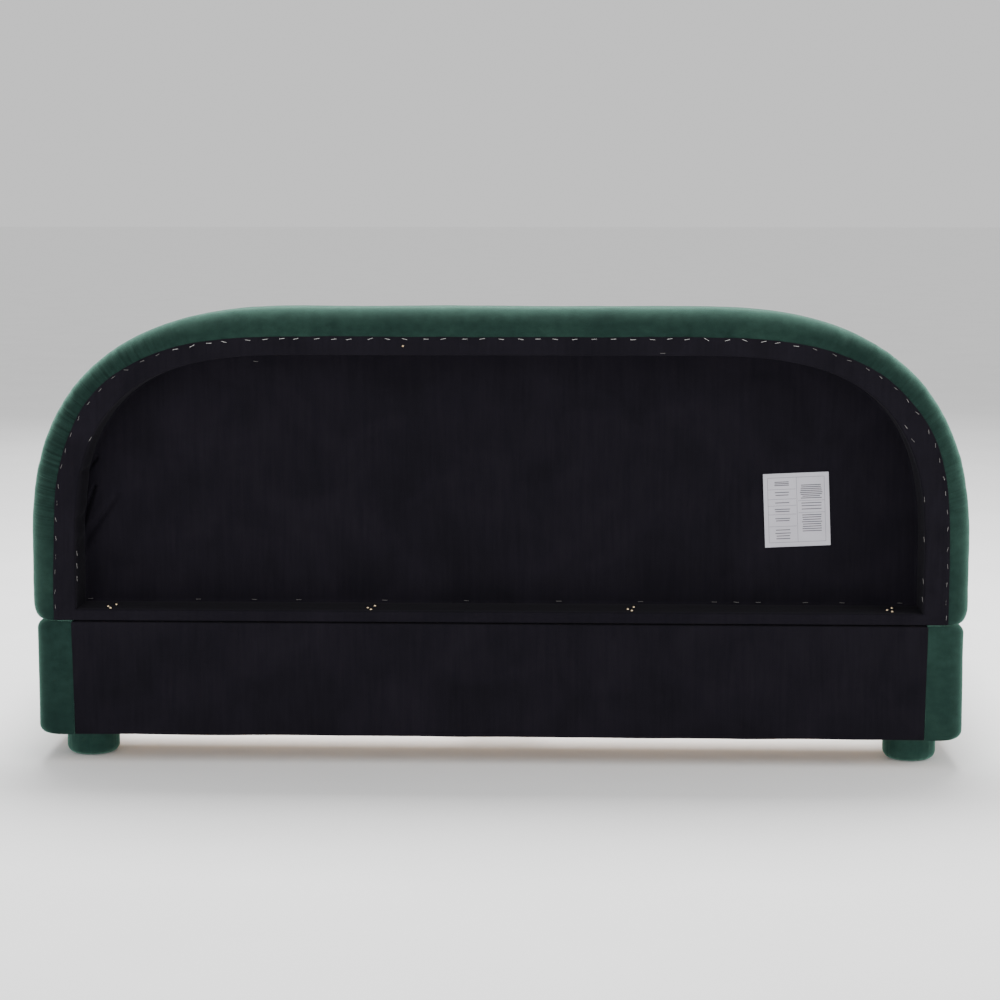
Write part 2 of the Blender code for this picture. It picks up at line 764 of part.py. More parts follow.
def make_corner_brackets(looks):
    """Steel angles that join the side rails to the head rail and to the foot rail."""
    reach = BRACKET_LEG * 0.62
    head_face, foot_face = rear(HEAD_BOX_FRONT_FACE) - GAP, FOOT_RAIL_INNER_Y + GAP
    leg, thick, x = BRACKET_LEG, BRACKET_THICKNESS, RAIL_INNER_X - GAP
    rods = []
    for side in (1, -1):
        for end_y, way in ((foot_face, 1), (head_face, -1)):
            for z in (BRACKET_BOTTOM + 0.016, BRACKET_TOP - 0.016):
                y = end_y + way * reach
                rods.append(((side * (x - 0.010), y, z), (side * (x + 0.010), y, z)))
                across = side * (x - reach)
                rods.append(((across, end_y - 0.010, z), (across, end_y + 0.010, z)))
    holes = rods_cutter("bolt_holes", BOLT_HOLE_RADIUS, rods)
    for end, end_y, way in (("foot", foot_face, 1), ("head", head_face, -1)):
        for side, name in ((1, "left"), (-1, "right")):
            outline = [
                (x, end_y),
                (x - leg, end_y),
                (x - leg, end_y + way * thick),
                (x - thick, end_y + way * thick),
                (x - thick, end_y + way * leg),
                (x, end_y + way * leg),
            ]
            ring = [(side * u, v, BRACKET_BOTTOM) for u, v in outline]
            mesh = prism_mesh("corner_bracket", ring, (0, 0, BRACKET_TOP - BRACKET_BOTTOM))
            bracket = mesh_object(f"corner_bracket_{end}_{name}", mesh, looks["steel"])
            combined(bracket, holes, "DIFFERENCE")


def main():
    for obj in list(bpy.data.objects):
        bpy.data.objects.remove(obj)
    bpy.context.scene.collection.children.link(parts)
    bpy.context.scene.collection.children.link(cutters)
    looks = make_materials()
    make_headboard_frame(looks)
    make_headboard_padding(looks)
    make_headboard_cover(looks)
    make_headboard_dust_cover(looks)
    make_label(looks)
    make_head_rail(looks)
    make_side_rails(looks)
    make_foot_rail(looks)
    make_slats(looks)
    make_centre_beam(looks)
    make_centre_legs(looks)
    make_feet(looks)
    make_corner_blocks(looks)
    make_corner_brackets(looks)


main()
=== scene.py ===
import math

import bpy
import numpy as np
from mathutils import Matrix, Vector, noise


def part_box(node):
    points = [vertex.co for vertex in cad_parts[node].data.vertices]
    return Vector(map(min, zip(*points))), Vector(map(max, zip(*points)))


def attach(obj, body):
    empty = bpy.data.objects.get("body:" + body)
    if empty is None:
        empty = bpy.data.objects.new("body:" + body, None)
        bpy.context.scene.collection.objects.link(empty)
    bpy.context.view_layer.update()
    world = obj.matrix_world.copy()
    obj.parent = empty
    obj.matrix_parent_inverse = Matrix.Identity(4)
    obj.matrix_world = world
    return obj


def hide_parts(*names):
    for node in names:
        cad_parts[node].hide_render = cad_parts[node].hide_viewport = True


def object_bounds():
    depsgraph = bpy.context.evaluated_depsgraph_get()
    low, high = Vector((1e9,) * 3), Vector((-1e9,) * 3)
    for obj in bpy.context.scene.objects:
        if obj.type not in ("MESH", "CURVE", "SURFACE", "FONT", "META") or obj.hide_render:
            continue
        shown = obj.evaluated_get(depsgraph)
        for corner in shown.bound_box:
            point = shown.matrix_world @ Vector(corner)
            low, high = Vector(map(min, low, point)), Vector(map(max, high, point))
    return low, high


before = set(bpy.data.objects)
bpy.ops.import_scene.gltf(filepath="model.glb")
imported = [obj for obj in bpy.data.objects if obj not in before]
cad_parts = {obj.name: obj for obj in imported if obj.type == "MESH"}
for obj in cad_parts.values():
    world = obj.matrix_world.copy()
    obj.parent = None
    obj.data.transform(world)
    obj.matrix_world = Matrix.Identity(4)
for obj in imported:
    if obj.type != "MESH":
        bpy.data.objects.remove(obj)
CAD_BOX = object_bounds()

# Places read from the frame
COVER_LOW, COVER_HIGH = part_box("headboard_velvet_cover")
RAIL_LOW, RAIL_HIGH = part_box("side_rail_cover_left")
SKIRT_LOW, SKIRT_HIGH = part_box("head_rail_dust_cover")
STRIP_LOW, STRIP_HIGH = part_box("head_rail_velvet_strip")
FOOT_LOW, FOOT_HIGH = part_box("foot_rail_cover")
CLOTH_OVER_LEDGE = 0.0013
REAR_Y = CAD_BOX[1].y
HEIGHT = COVER_HIGH.z
HALF_WIDTH = COVER_HIGH.x
ARCH_BOTTOM = COVER_LOW.z
LEDGE_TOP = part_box("headboard_ledge_board")[1].z + CLOTH_OVER_LEDGE
BASE_BOTTOM, BASE_TOP = RAIL_LOW.z, RAIL_HIGH.z
HALF_BASE = RAIL_HIGH.x
RAIL_THICKNESS = HALF_BASE - RAIL_LOW.x

# The headboard's arch: straight sides, superellipse corners and a flat top
SHOULDER_X, SHOULDER_Z = 0.340, 0.370
OUTLINE_POWER, FRAME_POWER = 2.63, 2.93
STAPLE_HALF_WIDTH, STAPLE_TOP = 0.8045, 0.7775
RECESS_HALF_WIDTH, RECESS_TOP, RECESS_DEPTH = 0.765, 0.746, 0.0985
FRONT_HALF_WIDTH, FRONT_TOP = 0.801, 0.7785
# Depths forward of the rear face: end of the rear roll, start of the front roll, front face
REAR_ROLL, FRONT_ROLL_START, HEADBOARD_DEPTH = 0.048, 0.110, 0.160


# ------------------------------------------------------------------ materials


class Shader:
    """A material with a Principled BSDF, and the few nodes that a surface is made of."""

    def __init__(self, name, roughness, metallic=0.0, specular=0.5):
        self.material = bpy.data.materials.new(name)
        self.material.use_nodes = True
        self.tree = self.material.node_tree
        self.shader = self.tree.nodes["Principled BSDF"]
        self.shader.inputs["Roughness"].default_value = roughness
        self.shader.inputs["Metallic"].default_value = metallic
        self.shader.inputs["Specular IOR Level"].default_value = specular
        coordinates = self.tree.nodes.new("ShaderNodeTexCoord")
        self.place, self.lie = coordinates.outputs["Object"], coordinates.outputs["UV"]

    def node(self, kind, inputs, **settings):
        made = self.tree.nodes.new(kind)
        for key, value in settings.items():
            setattr(made, key, value)
        for key, value in inputs.items():
            if isinstance(value, bpy.types.NodeSocket):
                self.tree.links.new(value, made.inputs[key])
            else:
                made.inputs[key].default_value = value
        return made

    def noise(self, scale, detail=3.0, stretch=(1, 1, 1), distortion=0.0, along=None):
        mapped = self.node("ShaderNodeMapping", {"Vector": along or self.place, "Scale": stretch})
        inputs = {
            "Vector": mapped.outputs[0],
            "Scale": scale,
            "Detail": detail,
            "Distortion": distortion,
        }
        return self.node("ShaderNodeTexNoise", inputs).outputs["Fac"]

    def dots(self, scale):
        inputs = {"Vector": self.place, "Scale": scale}
        return self.node("ShaderNodeTexVoronoi", inputs).outputs["Distance"]

    def parts(self, vector):
        """A vector's outputs X, Y and Z."""
        return self.node("ShaderNodeSeparateXYZ", {"Vector": vector}).outputs

    def math(self, operation, a, b=0.0):
        return self.node("ShaderNodeMath", {0: a, 1: b}, operation=operation).outputs[0]
        return self.node("ShaderNodeMath", {0: a, 1: b}, operation=operation).outputs[0]

    def between(self, value, start, end):
        """0 at start and 1 at end, clamped."""
        inputs = {"Value": value, "From Min": start, "From Max": end}
        return self.node("ShaderNodeMapRange", inputs, clamp=True).outputs[0]

    def ramp(self, factor, *stops):
        made = self.node("ShaderNodeValToRGB", {"Fac": factor})
        elements = made.color_ramp.elements
        while len(elements) < len(stops):
            elements.new(0.5)
        for element, (position, colour) in zip(elements, stops):
            element.position = position
            element.color = (*colour, 1.0)
        return made.outputs["Color"]

    def mix(self, factor, a, b, blend="MIX"):
        made = self.node("ShaderNodeMix", {"Factor": factor}, data_type="RGBA", blend_type=blend)
        for name, value in (("A", a), ("B", b)):
            colour = next(i for i in made.inputs if i.name == name and i.type == "RGBA")
            if isinstance(value, bpy.types.NodeSocket):
                self.tree.links.new(value, colour)
            else:
                colour.default_value = (*value, 1.0)
        return next(o for o in made.outputs if o.type == "RGBA")

    def product(self, a, b):
        return self.mix(1.0, a, b, "MULTIPLY")

    def colour(self, socket):
        self.tree.links.new(socket, self.shader.inputs["Base Color"])

    def roughness(self, factor, low, high):
        span = self.node("ShaderNodeMapRange", {"Value": factor, "To Min": low, "To Max": high})
        self.tree.links.new(span.outputs[0], self.shader.inputs["Roughness"])

    def bump(self, *layers):
        """Each layer is (height, strength, distance in metres)."""
        normal = None
        for height, strength, distance in layers:
            inputs = {"Height": height, "Strength": strength, "Distance": distance}
            if normal is not None:
                inputs["Normal"] = normal
            normal = self.node("ShaderNodeBump", inputs).outputs[0]
        self.tree.links.new(normal, self.shader.inputs["Normal"])

    def sheen(self, weight, roughness, tint):
        self.shader.inputs["Sheen Weight"].default_value = weight
        self.shader.inputs["Sheen Roughness"].default_value = roughness
        self.shader.inputs["Sheen Tint"].default_value = (*tint, 1.0)


def scaled(colour, by):
    return tuple(min(c * by, 1.0) for c in colour)


def velvet(name, gathered, pale=1.0):
    """Short-pile velvet. Where it is gathered, fine furrows run across the edge its map follows,
    their hollows darkened as painted shade and their crests lightened as painted highlight. A pale
    above 1 scales the colour up, painted light for lighter copies of the same cloth.
    """
    made = Shader(name, 0.92, specular=0.06)
    nap = made.noise(5.5, 3.0, distortion=0.8)
    streak = made.noise(60.0, 4.0, (1.0, 0.5, 1.3))
    pile = made.noise(1400.0, 2.0)
    deep, high = (0.0054, 0.0152, 0.0128), (0.0112, 0.0285, 0.0225)
    # pale above 1 makes a lighter copy of the same velvet: painted light
    body = made.ramp(nap, (0.32, scaled(deep, pale)), (0.70, scaled(high, pale)))
    brushed = made.ramp(streak, (0.30, (0.74, 0.76, 0.77)), (0.72, (1.16, 1.13, 1.12)))
    grain = made.ramp(pile, (0.30, (0.70, 0.70, 0.70)), (0.70, (1.25, 1.25, 1.25)))
    look = made.product(made.product(body, brushed), grain)
    layers = [(streak, 0.25, 0.0020), (pile, 0.35, 0.0006)]
    if gathered:
        here, depth = made.parts(made.place), made.parts(made.lie)["Y"]
        furrow = made.noise(195.0, 2.0, (1.0, 0.05, 0.0), 0.3, along=made.lie)
        # the furrows and their painted shade: only at the rear roll of the two upper corners, and
        # deepest at +X
        amount = made.between(made.math("ABSOLUTE", here["X"]), 0.52, 0.76)
        fades = (
            made.between(here["Z"], 0.38, 0.48),
            made.between(depth, 0.060, 0.012),
            made.between(here["X"], -1.5, 0.3),
        )
        for fade in fades:
            amount = made.math("MULTIPLY", amount, fade)
        # painted shade in the furrows' hollows and painted highlight on their crests
        shade = made.ramp(furrow, (0.32, (0.46, 0.48, 0.50)), (0.62, (1.15, 1.14, 1.13)))
        look = made.product(look, made.mix(amount, (1, 1, 1), shade))
        layers.append((made.math("MULTIPLY", furrow, amount), 0.60, 0.0040))
    made.colour(look)
    made.bump(*layers)
    made.sheen(0.46, 0.44, (0.38, 0.82, 0.64))
    return made.material


def cambric():
    """Thin black non-woven cloth with a pressed dot pattern and a faint vertical streak, and
    painted shade on the recess's walls.
    """
    made = Shader("cambric_look", 0.92, specular=0.05)
    cloud = made.noise(9.0, 4.0, distortion=0.6)
    streak = made.noise(30.0, 3.0, (5.0, 5.0, 0.35))
    dots = made.dots(950.0)
    fibre = made.noise(2100.0, 2.0)
    body = made.ramp(cloud, (0.30, (0.0052, 0.0046, 0.0068)), (0.72, (0.0078, 0.0067, 0.0099)))
    drawn = made.ramp(streak, (0.30, (0.87, 0.88, 0.90)), (0.72, (1.12, 1.12, 1.10)))
    # painted shade makes the cloth darkest on the recess's walls, between the rim and the back
    y = made.parts(made.place)["Y"]
    past_rim = made.between(y, REAR_Y - 0.008, REAR_Y - 0.024)
    before_back = made.between(y, REAR_Y - 0.092, REAR_Y - 0.078)
    painted_wall_shade = made.math("MULTIPLY", past_rim, before_back)
    made.colour(made.mix(painted_wall_shade, made.product(body, drawn), (0.0028, 0.0025, 0.0038)))
    made.bump((streak, 0.20, 0.0010), (dots, 0.30, 0.0004), (fibre, 0.25, 0.0003))
    made.sheen(0.02, 0.5, (0.80, 0.76, 0.90))
    return made.material


def timber(name, along, light, dark):
    """Sawn softwood with its grain along one axis."""
    made = Shader(name, 0.62, specular=0.35)
    stretch = tuple(1.2 if i == along else 26.0 for i in range(3))
    grain = made.noise(3.2, 6.0, stretch, 0.5)
    fine = made.noise(16.0, 3.0, stretch)
    board = made.noise(1.4, 1.0)
    wood = made.ramp(grain, (0.30, dark), (0.52, light), (0.74, scaled(light, 0.86)))
    shade = made.ramp(board, (0.30, (0.86, 0.84, 0.82)), (0.70, (1.08, 1.06, 1.04)))
    made.colour(made.product(wood, shade))
    made.roughness(fine, 0.52, 0.74)
    made.bump((grain, 0.25, 0.0008), (fine, 0.20, 0.0003))
    return made.material


def plies(name, across):
    """Plywood, its veneers 1.5 mm apart along one axis."""
    made = Shader(name, 0.66, specular=0.30)
    wave = made.node(
        "ShaderNodeTexWave",
        {"Vector": made.place, "Scale": 105.0, "Distortion": 0.4, "Detail": 1.0},
        bands_direction=across,
    )
    grain = made.noise(4.0, 5.0, (18.0, 2.0, 2.0), 0.4)
    layers = made.ramp(wave.outputs["Fac"], (0.25, (0.36, 0.22, 0.12)), (0.60, (0.56, 0.40, 0.24)))
    face = made.ramp(grain, (0.30, (0.78, 0.74, 0.70)), (0.70, (1.10, 1.08, 1.05)))
    made.colour(made.product(layers, face))
    made.roughness(grain, 0.55, 0.78)
    made.bump((grain, 0.25, 0.0006))
    return made.material


def plain(name, colour, roughness, metallic, scale, depth, spread=0.25):
    """Moulded plastic or coated metal: fine texture, and worn or dusty patches."""
    made = Shader(name, roughness, metallic)
    patch = made.noise(22.0, 4.0, distortion=0.4)
    texture = made.noise(scale, 2.0)
    dark, light = scaled(colour, 1 - spread), scaled(colour, 1 + spread)
    made.colour(made.ramp(patch, (0.30, dark), (0.72, light)))
    made.roughness(patch, roughness * 0.82, min(roughness * 1.18, 1.0))
    made.bump((texture, 0.30, depth))
    return made.material


LOOKS = {
    "velvet_gathered": velvet("velvet_gathered_look", True),
    # painted light: lighter copies of the same velvet, 1.2 times for the rails and 2.1 times for
    # the feet under the bed
    "velvet": velvet("velvet_look", False, 1.2),
    "velvet_foot_painted_light": velvet("velvet_foot_painted_light_look", False, 2.1),
    "cambric": cambric(),
    "pine_x": timber("pine_across_look", 0, (0.60, 0.42, 0.23), (0.42, 0.25, 0.12)),
    "pine_y": timber("pine_along_look", 1, (0.57, 0.40, 0.22), (0.40, 0.24, 0.12)),
    "ply_y": plies("plywood_upright_look", "Y"),
    "ply_z": plies("plywood_flat_look", "Z"),
    "steel": plain("coated_steel_look", (0.045, 0.045, 0.050), 0.45, 1.0, 900.0, 0.0003),
    "zinc": plain("zinc_look", (0.62, 0.62, 0.64), 0.30, 1.0, 1500.0, 0.0001, 0.15),
    "brass": plain("yellow_zinc_look", (0.78, 0.62, 0.40), 0.34, 1.0, 1500.0, 0.0001, 0.15),
    "staple": plain("staple_wire_look", (0.74, 0.73, 0.71), 0.32, 0.9, 1200.0, 0.0001, 0.10),
    # a darker copy of the staple wire: painted shade for the staples at the sides and about the
    # recess
    "dull_staple": plain("shaded_wire_look", (0.26, 0.25, 0.24), 0.45, 0.9, 1200.0, 0.0001, 0.20),
    "plastic": plain("moulded_plastic_look", (0.020, 0.020, 0.021), 0.48, 0.0, 700.0, 0.0003),
    "label": plain("label_paper_look", (0.40, 0.39, 0.43), 0.75, 0.0, 260.0, 0.0003, 0.05),
    "ink": plain("label_ink_look", (0.06, 0.06, 0.07), 0.80, 0.0, 800.0, 0.0001, 0.10),
}

CORNERS = ("foot_left", "foot_right", "head_left", "head_right")
SLATS = [f"slat_{i:02d}" for i in range(1, 12)]
CAD_LOOKS = {
    "pine_x": ["headboard_top_rail", "foot_rail_board", *SLATS],
    "pine_y": [
        "side_rail_board_left", "side_rail_board_right",
        "slat_cleat_left", "slat_cleat_right", "centre_beam",
    ],
    "ply_y": [
        "headboard_rib_left", "headboard_rib_right", "headboard_panel",
        "head_rail_front_board", "head_rail_rear_board",
    ],
    "ply_z": [
        "headboard_ledge_board", "head_rail_top_board",
        *(f"corner_block_{corner}" for corner in CORNERS),
    ],
    "steel": [
        "beam_hanger_foot", "beam_hanger_head",
        *(f"corner_bracket_{corner}" for corner in CORNERS),
    ],
    "zinc": ["leveller_foot_side", "leveller_head_side"],
    "plastic": [
        "centre_leg_foot_side", "centre_leg_head_side",
        *(f"foot_core_{corner}" for corner in CORNERS),
    ],
}


# ------------------------------------------------------------------ mesh tools


def smooth_noise(points, scale, seed=0.0):
    """One smooth value from about -1 to 1 for each point."""
    increment, lacunarity, octaves = 1.0, 2.0, 2
    scale = Vector(scale if hasattr(scale, "__len__") else (scale,) * 3)
    shift = Vector((seed, seed * 0.37, -seed * 0.71))
    flat = np.asarray(points, float).reshape(-1, 3)
    values = [
        noise.fractal(Vector(p) * scale + shift, increment, lacunarity, octaves) for p in flat
    ]
    return np.array(values).reshape(np.asarray(points).shape[:-1])


def finished(name, vertices, faces, look, slot=None, smooth=True):
    """A mesh object that rides on the bed; the levellers, which move, are left as CAD."""
    mesh = bpy.data.meshes.new(name)
    mesh.from_pydata(np.asarray(vertices, float).reshape(-1, 3).tolist(), [], faces)
    mesh.validate()
    if smooth:
        mesh.shade_smooth()
        mesh.set_sharp_from_angle(angle=math.radians(48))
    obj = bpy.data.objects.new(name, mesh)
    bpy.context.scene.collection.objects.link(obj)
    obj.data.materials.append(LOOKS[look])
    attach(obj, "bed")
    return obj


def grid_faces(rows, columns, closed=False, flip=False, start=0):
    """Quads between rows of vertices; each row follows the one before in the vertex list."""
    faces = []
    for i in range(rows - 1):
        for j in range(columns if closed else columns - 1):
            k = (j + 1) % columns
            quad = (
                start + i * columns + j,
                start + i * columns + k,
                start + (i + 1) * columns + k,
                start + (i + 1) * columns + j,
            )
            faces.append(quad[::-1] if flip else quad)
    return faces


def lengths_along(points):
    """How far along a polyline each of its points is."""
    return np.concatenate(([0], np.cumsum(np.linalg.norm(np.diff(points, axis=0), axis=1))))


def evenly(points, count):
    """A polyline resampled at equal steps along its length."""
    points = np.asarray(points, float)
    steps = lengths_along(points)
    at = np.linspace(0, steps[-1], count)
    return np.stack([np.interp(at, steps, points[:, k]) for k in range(points.shape[1])], -1)


def quarter(count, start=0, end=90):
    """Angles from one to another, both included."""
    return np.radians(np.linspace(start, end, count))


def unit(vectors):
    """Vectors along the last axis made one long."""
    return vectors / np.maximum(np.linalg.norm(vectors, axis=-1, keepdims=True), 1e-9)


def tube(points, radius, sides=6):
    """Vertices and faces of a closed thin tube through the points."""
    points = [Vector(p) for p in points]
    vertices, faces = [], []
    for i, p in enumerate(points):
        ahead = (points[min(i + 1, len(points) - 1)] - points[max(i - 1, 0)]).normalized()
        turn = ahead.to_track_quat("Z", "Y")
        for s in range(sides):
            angle = 2 * math.pi * s / sides
            spoke = Vector((radius * math.cos(angle), radius * math.sin(angle), 0))
            vertices.append(p + turn @ spoke)
    faces += grid_faces(len(points), sides, closed=True, flip=True)
    last = (len(points) - 1) * sides
    faces.append(tuple(range(sides)))
    faces.append(tuple(range(last + sides - 1, last - 1, -1)))
    return vertices, faces


def turned(profile, sides, centre, axis):
    """Vertices and faces of a (radius, height) profile turned about an axis through the centre."""
    vertices, faces = [], []
    for radius, height in profile:
        for s in range(sides):
            angle = 2 * math.pi * s / sides
            u, v = radius * math.cos(angle), radius * math.sin(angle)
            offsets = {
                "Z": (u, v, height),
                "Y": (u, height, v),
                "-Y": (v, -height, u),
                "X": (height, u, v),
                "-X": (-height, v, u),
            }
            vertices.append(Vector(centre) + Vector(offsets[axis]))
    faces += grid_faces(len(profile), sides, closed=True, flip=axis == "Y")
    last = (len(profile) - 1) * sides
    ends = [tuple(range(sides - 1, -1, -1)), tuple(range(last, last + sides))]
    faces += [face[::-1] for face in ends] if axis == "Y" else ends
    return vertices, faces


def joined(pieces):
    """One list of vertices and faces from several."""
    vertices, faces = [], []
    for more_vertices, more_faces in pieces:
        start = len(vertices)
        vertices += list(more_vertices)
        faces += [tuple(start + i for i in face) for face in more_faces]
    return vertices, faces


# ------------------------------------------------------------------ the arch

FOOT_STEPS, SIDE_STEPS, CORNER_STEPS, TOP_STEPS = 9, 22, 240, 90
UNDER_ROLL, UNDER_PULL = 0.030, 0.014


def arch(half_width, top, power, bottom=ARCH_BOTTOM):
    """(x, z) points of an inverted U, from its foot at +X over the top to its foot at -X."""
    foot_z = bottom + UNDER_ROLL * (1 - np.cos(quarter(FOOT_STEPS)))
    side_z = np.linspace(foot_z[-1], SHOULDER_Z, SIDE_STEPS)[1:]
    side = [(half_width, z) for z in [*foot_z, *side_z]]
    angles = quarter(600)
    across = np.maximum(np.cos(angles), 0) ** (2 / power)
    upward = np.sin(angles) ** (2 / power)
    corner_x = SHOULDER_X + (half_width - SHOULDER_X) * across
    corner_z = SHOULDER_Z + (top - SHOULDER_Z) * upward
    corner = evenly(np.stack([corner_x, corner_z], -1), CORNER_STEPS)[1:]
    level = [(x, top) for x in np.linspace(SHOULDER_X, 0, TOP_STEPS)[1:]]
    right = np.array([*side, *corner, *level])
    left = right[-2::-1] * (-1, 1)
    return np.concatenate([right, left])


def outward(points):
    """The unit normals of an arch, away from the recess."""
    tangent = np.gradient(points, axis=0)
    return unit(np.stack([tangent[:, 1], -tangent[:, 0]], -1))


def smoothly(value, start, end):
    """0 up to start, 1 from end on, and a smooth step between."""
    t = np.clip((value - start) / (end - start), 0, 1)
    return t * t * (3 - 2 * t)


def hand_stapled(line):
    """The staple line as set by eye: 3 mm toward -X of true along both uprights."""
    shift = 0.0035
    x, z = line[:, 0], line[:, 1]
    left = smoothly(z, 0.29, 0.42) * (1 - smoothly(z, 0.60, 0.72))
    right = 1 - smoothly(z, 0.58, 0.72)
    return np.stack([x - shift * np.where(x > 0, left, right * 0.9), z], -1)


OUTLINE = arch(HALF_WIDTH, HEIGHT, OUTLINE_POWER)
STAPLE_LINE = hand_stapled(arch(STAPLE_HALF_WIDTH, STAPLE_TOP, FRAME_POWER))
FRONT_LINE = arch(FRONT_HALF_WIDTH, FRONT_TOP, OUTLINE_POWER)
OUT = outward(OUTLINE)
STAPLES_OUT = outward(STAPLE_LINE)
RUN = lengths_along(STAPLE_LINE)
BEND = (2 * np.abs(OUT[:, 0] * OUT[:, 1])) ** 0.7  # 0 on the sides and top, 1 at 45 degrees


def staple_runs():
    """Distances along the staple line where a staple sits, unevenly spaced."""
    at, runs = 0.022, []
    while at < RUN[-1] - 0.015:
        runs.append(at)
        at += 0.032 + 0.016 * noise.noise(Vector((len(runs) * 1.7, 3.1, 0)))
    return runs


STAPLE_RUNS = staple_runs()


def noise_along(step, seed_y, seed=0.0):
    """Smooth noise along the staple line: it changes over about one step's length."""
    return smooth_noise(np.stack([RUN / step, RUN * 0 + seed_y, RUN * 0], -1), 1.0, seed)


def along_staples():
    """The staple line with the slight waver of hand work."""
    line = np.stack([RUN * 9.0, RUN * 0 + 4.2, RUN * 0], -1)
    return STAPLE_LINE + STAPLES_OUT * (0.0014 * smooth_noise(line, 1.0))[:, None]


def pad_rows():
    """The headboard cover's rows: (points, depth, how far it faces out, how far rearward)."""
    rows = []
    for inset, depth in ((0.012, 0.0021), (0.006, 0.0019), (0.002, 0.0016)):
        rows.append((STAPLE_LINE - STAPLES_OUT * inset, depth, 0.0, 1.0))
    rear_depth = 0.0012
    for angle in quarter(24, 90, 0):
        points = OUTLINE + (STAPLE_LINE - OUTLINE) * (1 - math.cos(angle))
        depth = REAR_ROLL - (REAR_ROLL - rear_depth) * math.sin(angle)
        rows.append((points, depth, math.cos(angle), math.sin(angle)))
    for depth in np.linspace(REAR_ROLL, FRONT_ROLL_START, 15)[1:-1]:
        rows.append((OUTLINE, depth, 1.0, 0.0))
    for angle in quarter(20):
        points = OUTLINE + (FRONT_LINE - OUTLINE) * (1 - math.cos(angle))
        depth = FRONT_ROLL_START + (HEADBOARD_DEPTH - FRONT_ROLL_START) * math.sin(angle)
        rows.append((points, depth, math.cos(angle), -math.sin(angle)))
    # the front closes toward a line along its bottom, with shorter steps at the end
    target = np.stack([FRONT_LINE[:, 0] * 0.5, FRONT_LINE[:, 1] * 0 + ARCH_BOTTOM], -1)
    last = 0.06
    for share in [*np.linspace(1, last, 52)[1:], *(last * (1 - np.sin(quarter(9)[1:])))]:
        rows.append((target + (FRONT_LINE - target) * share, HEADBOARD_DEPTH, 0.0, -1.0))
    return rows


def make_headboard_pad():
    """Velvet over foam: a rolled rim gathered at the corners, a crowned front, a hem underneath."""
    rows = pad_rows()
    count, columns = len(rows), len(OUTLINE)
    points, normals = [], []
    for line, row_depth, out, rearward in rows:
        points.append([(x, REAR_Y - row_depth, z) for x, z in line])
        normals.append([(m[0] * out, rearward, m[1] * out) for m in OUT])
    points, normals = np.array(points), np.array(normals)
    normals /= np.linalg.norm(normals, axis=2, keepdims=True)
    depths = np.array([row_depth for _, row_depth, _, _ in rows])
    depth = depths[:, None]

    # rounding under at the bottom
    height = np.clip((points[..., 2] - ARCH_BOTTOM) / UNDER_ROLL, 0, 1)
    pull = UNDER_PULL * (1 - np.sqrt(np.maximum(1 - (1 - height) ** 2, 0)))
    flat = normals * (1, 1, 0)
    flat[..., 1] = np.minimum(flat[..., 1], 0)

    # gathers at the rear roll, strongest at the corners, and the dip at each staple
    rear = np.clip(depth / REAR_ROLL, 0, 2)
    envelope = np.sin(np.pi * np.clip(rear * 0.80 + 0.20, 0, 1))
    fold, lean = noise_along(0.015, 1.3, 2.0), noise_along(0.060, 7.7)
    ridge = (0.0003 + 0.0018 * BEND) * (fold + 0.5 * lean)
    dips = sum(np.exp(-(((RUN - at) / 0.0065) ** 2)) for at in STAPLE_RUNS)
    near = np.exp(-((depth / 0.010) ** 2))
    wide = 0.0009 * smooth_noise(points, 6.0, 5.0) + 0.0004 * smooth_noise(points, 27.0, 9.0)

    # the front's crown
    front = np.clip(-normals[..., 1], 0, 1)
    x = points[..., 0] / FRONT_HALF_WIDTH
    z = (points[..., 2] - ARCH_BOTTOM) / (FRONT_TOP - ARCH_BOTTOM)
    crown = 0.0055 * front * np.clip(1 - np.abs(x) ** 4, 0, 1)
    crown = crown * np.clip(np.sin(np.pi * np.clip(z, 0, 1)), 0, 1)
    free = np.clip((points[..., 2] - ARCH_BOTTOM) / 0.02, 0, 1) * np.clip(depth / 0.004, 0.0, 1)
    push = (ridge[None] * envelope + wide) * free + crown - 0.0007 * dips[None] * near
    points = points + normals * push[..., None] - flat * pull[..., None]

    # hem turned in underneath, along the whole lower edge
    hem_width = 0.026
    border = [(i, 0) for i in range(count)]
    border += [(count - 1, j) for j in range(1, columns - 1)]
    border += [(i, columns - 1) for i in range(count - 1, -1, -1)]
    hem = [points[i, j] - flat[i, j] * hem_width for i, j in border]
    faces = grid_faces(count, columns)
    first = count * columns
    index = [i * columns + j for i, j in border]
    for a in range(len(border) - 1):
        faces.append((index[a], index[a + 1], first + a + 1, first + a))
    vertices = np.concatenate([points.reshape(-1, 3), np.array(hem)])
    pad = finished("headboard_velvet_pad", vertices, faces, "velvet_gathered", slot="green_velvet")

    # a map of (distance along the staple line, depth), which the velvet's furrows follow
    lie = [(RUN[j], depths[i]) for i in range(count) for j in range(columns)]
    lie += [(RUN[j], depths[i]) for i, j in border]
    layer = pad.data.uv_layers.new(name="lie_of_pile")
    for loop in pad.data.loops:
        layer.data[loop.index].uv = lie[loop.vertex_index]
    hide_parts("headboard_velvet_cover", "headboard_edge_foam", "headboard_front_foam")


# ------------------------------------------------------------------ dust covers


def ring(line, bottom, steps=250):
    """Closes an arch with a row of points along its bottom, from its foot at -X to that at +X."""
    across = np.linspace(line[-1][0], line[0][0], steps + 2)[1:-1]
    return np.concatenate([line, [(x, bottom) for x in across]])


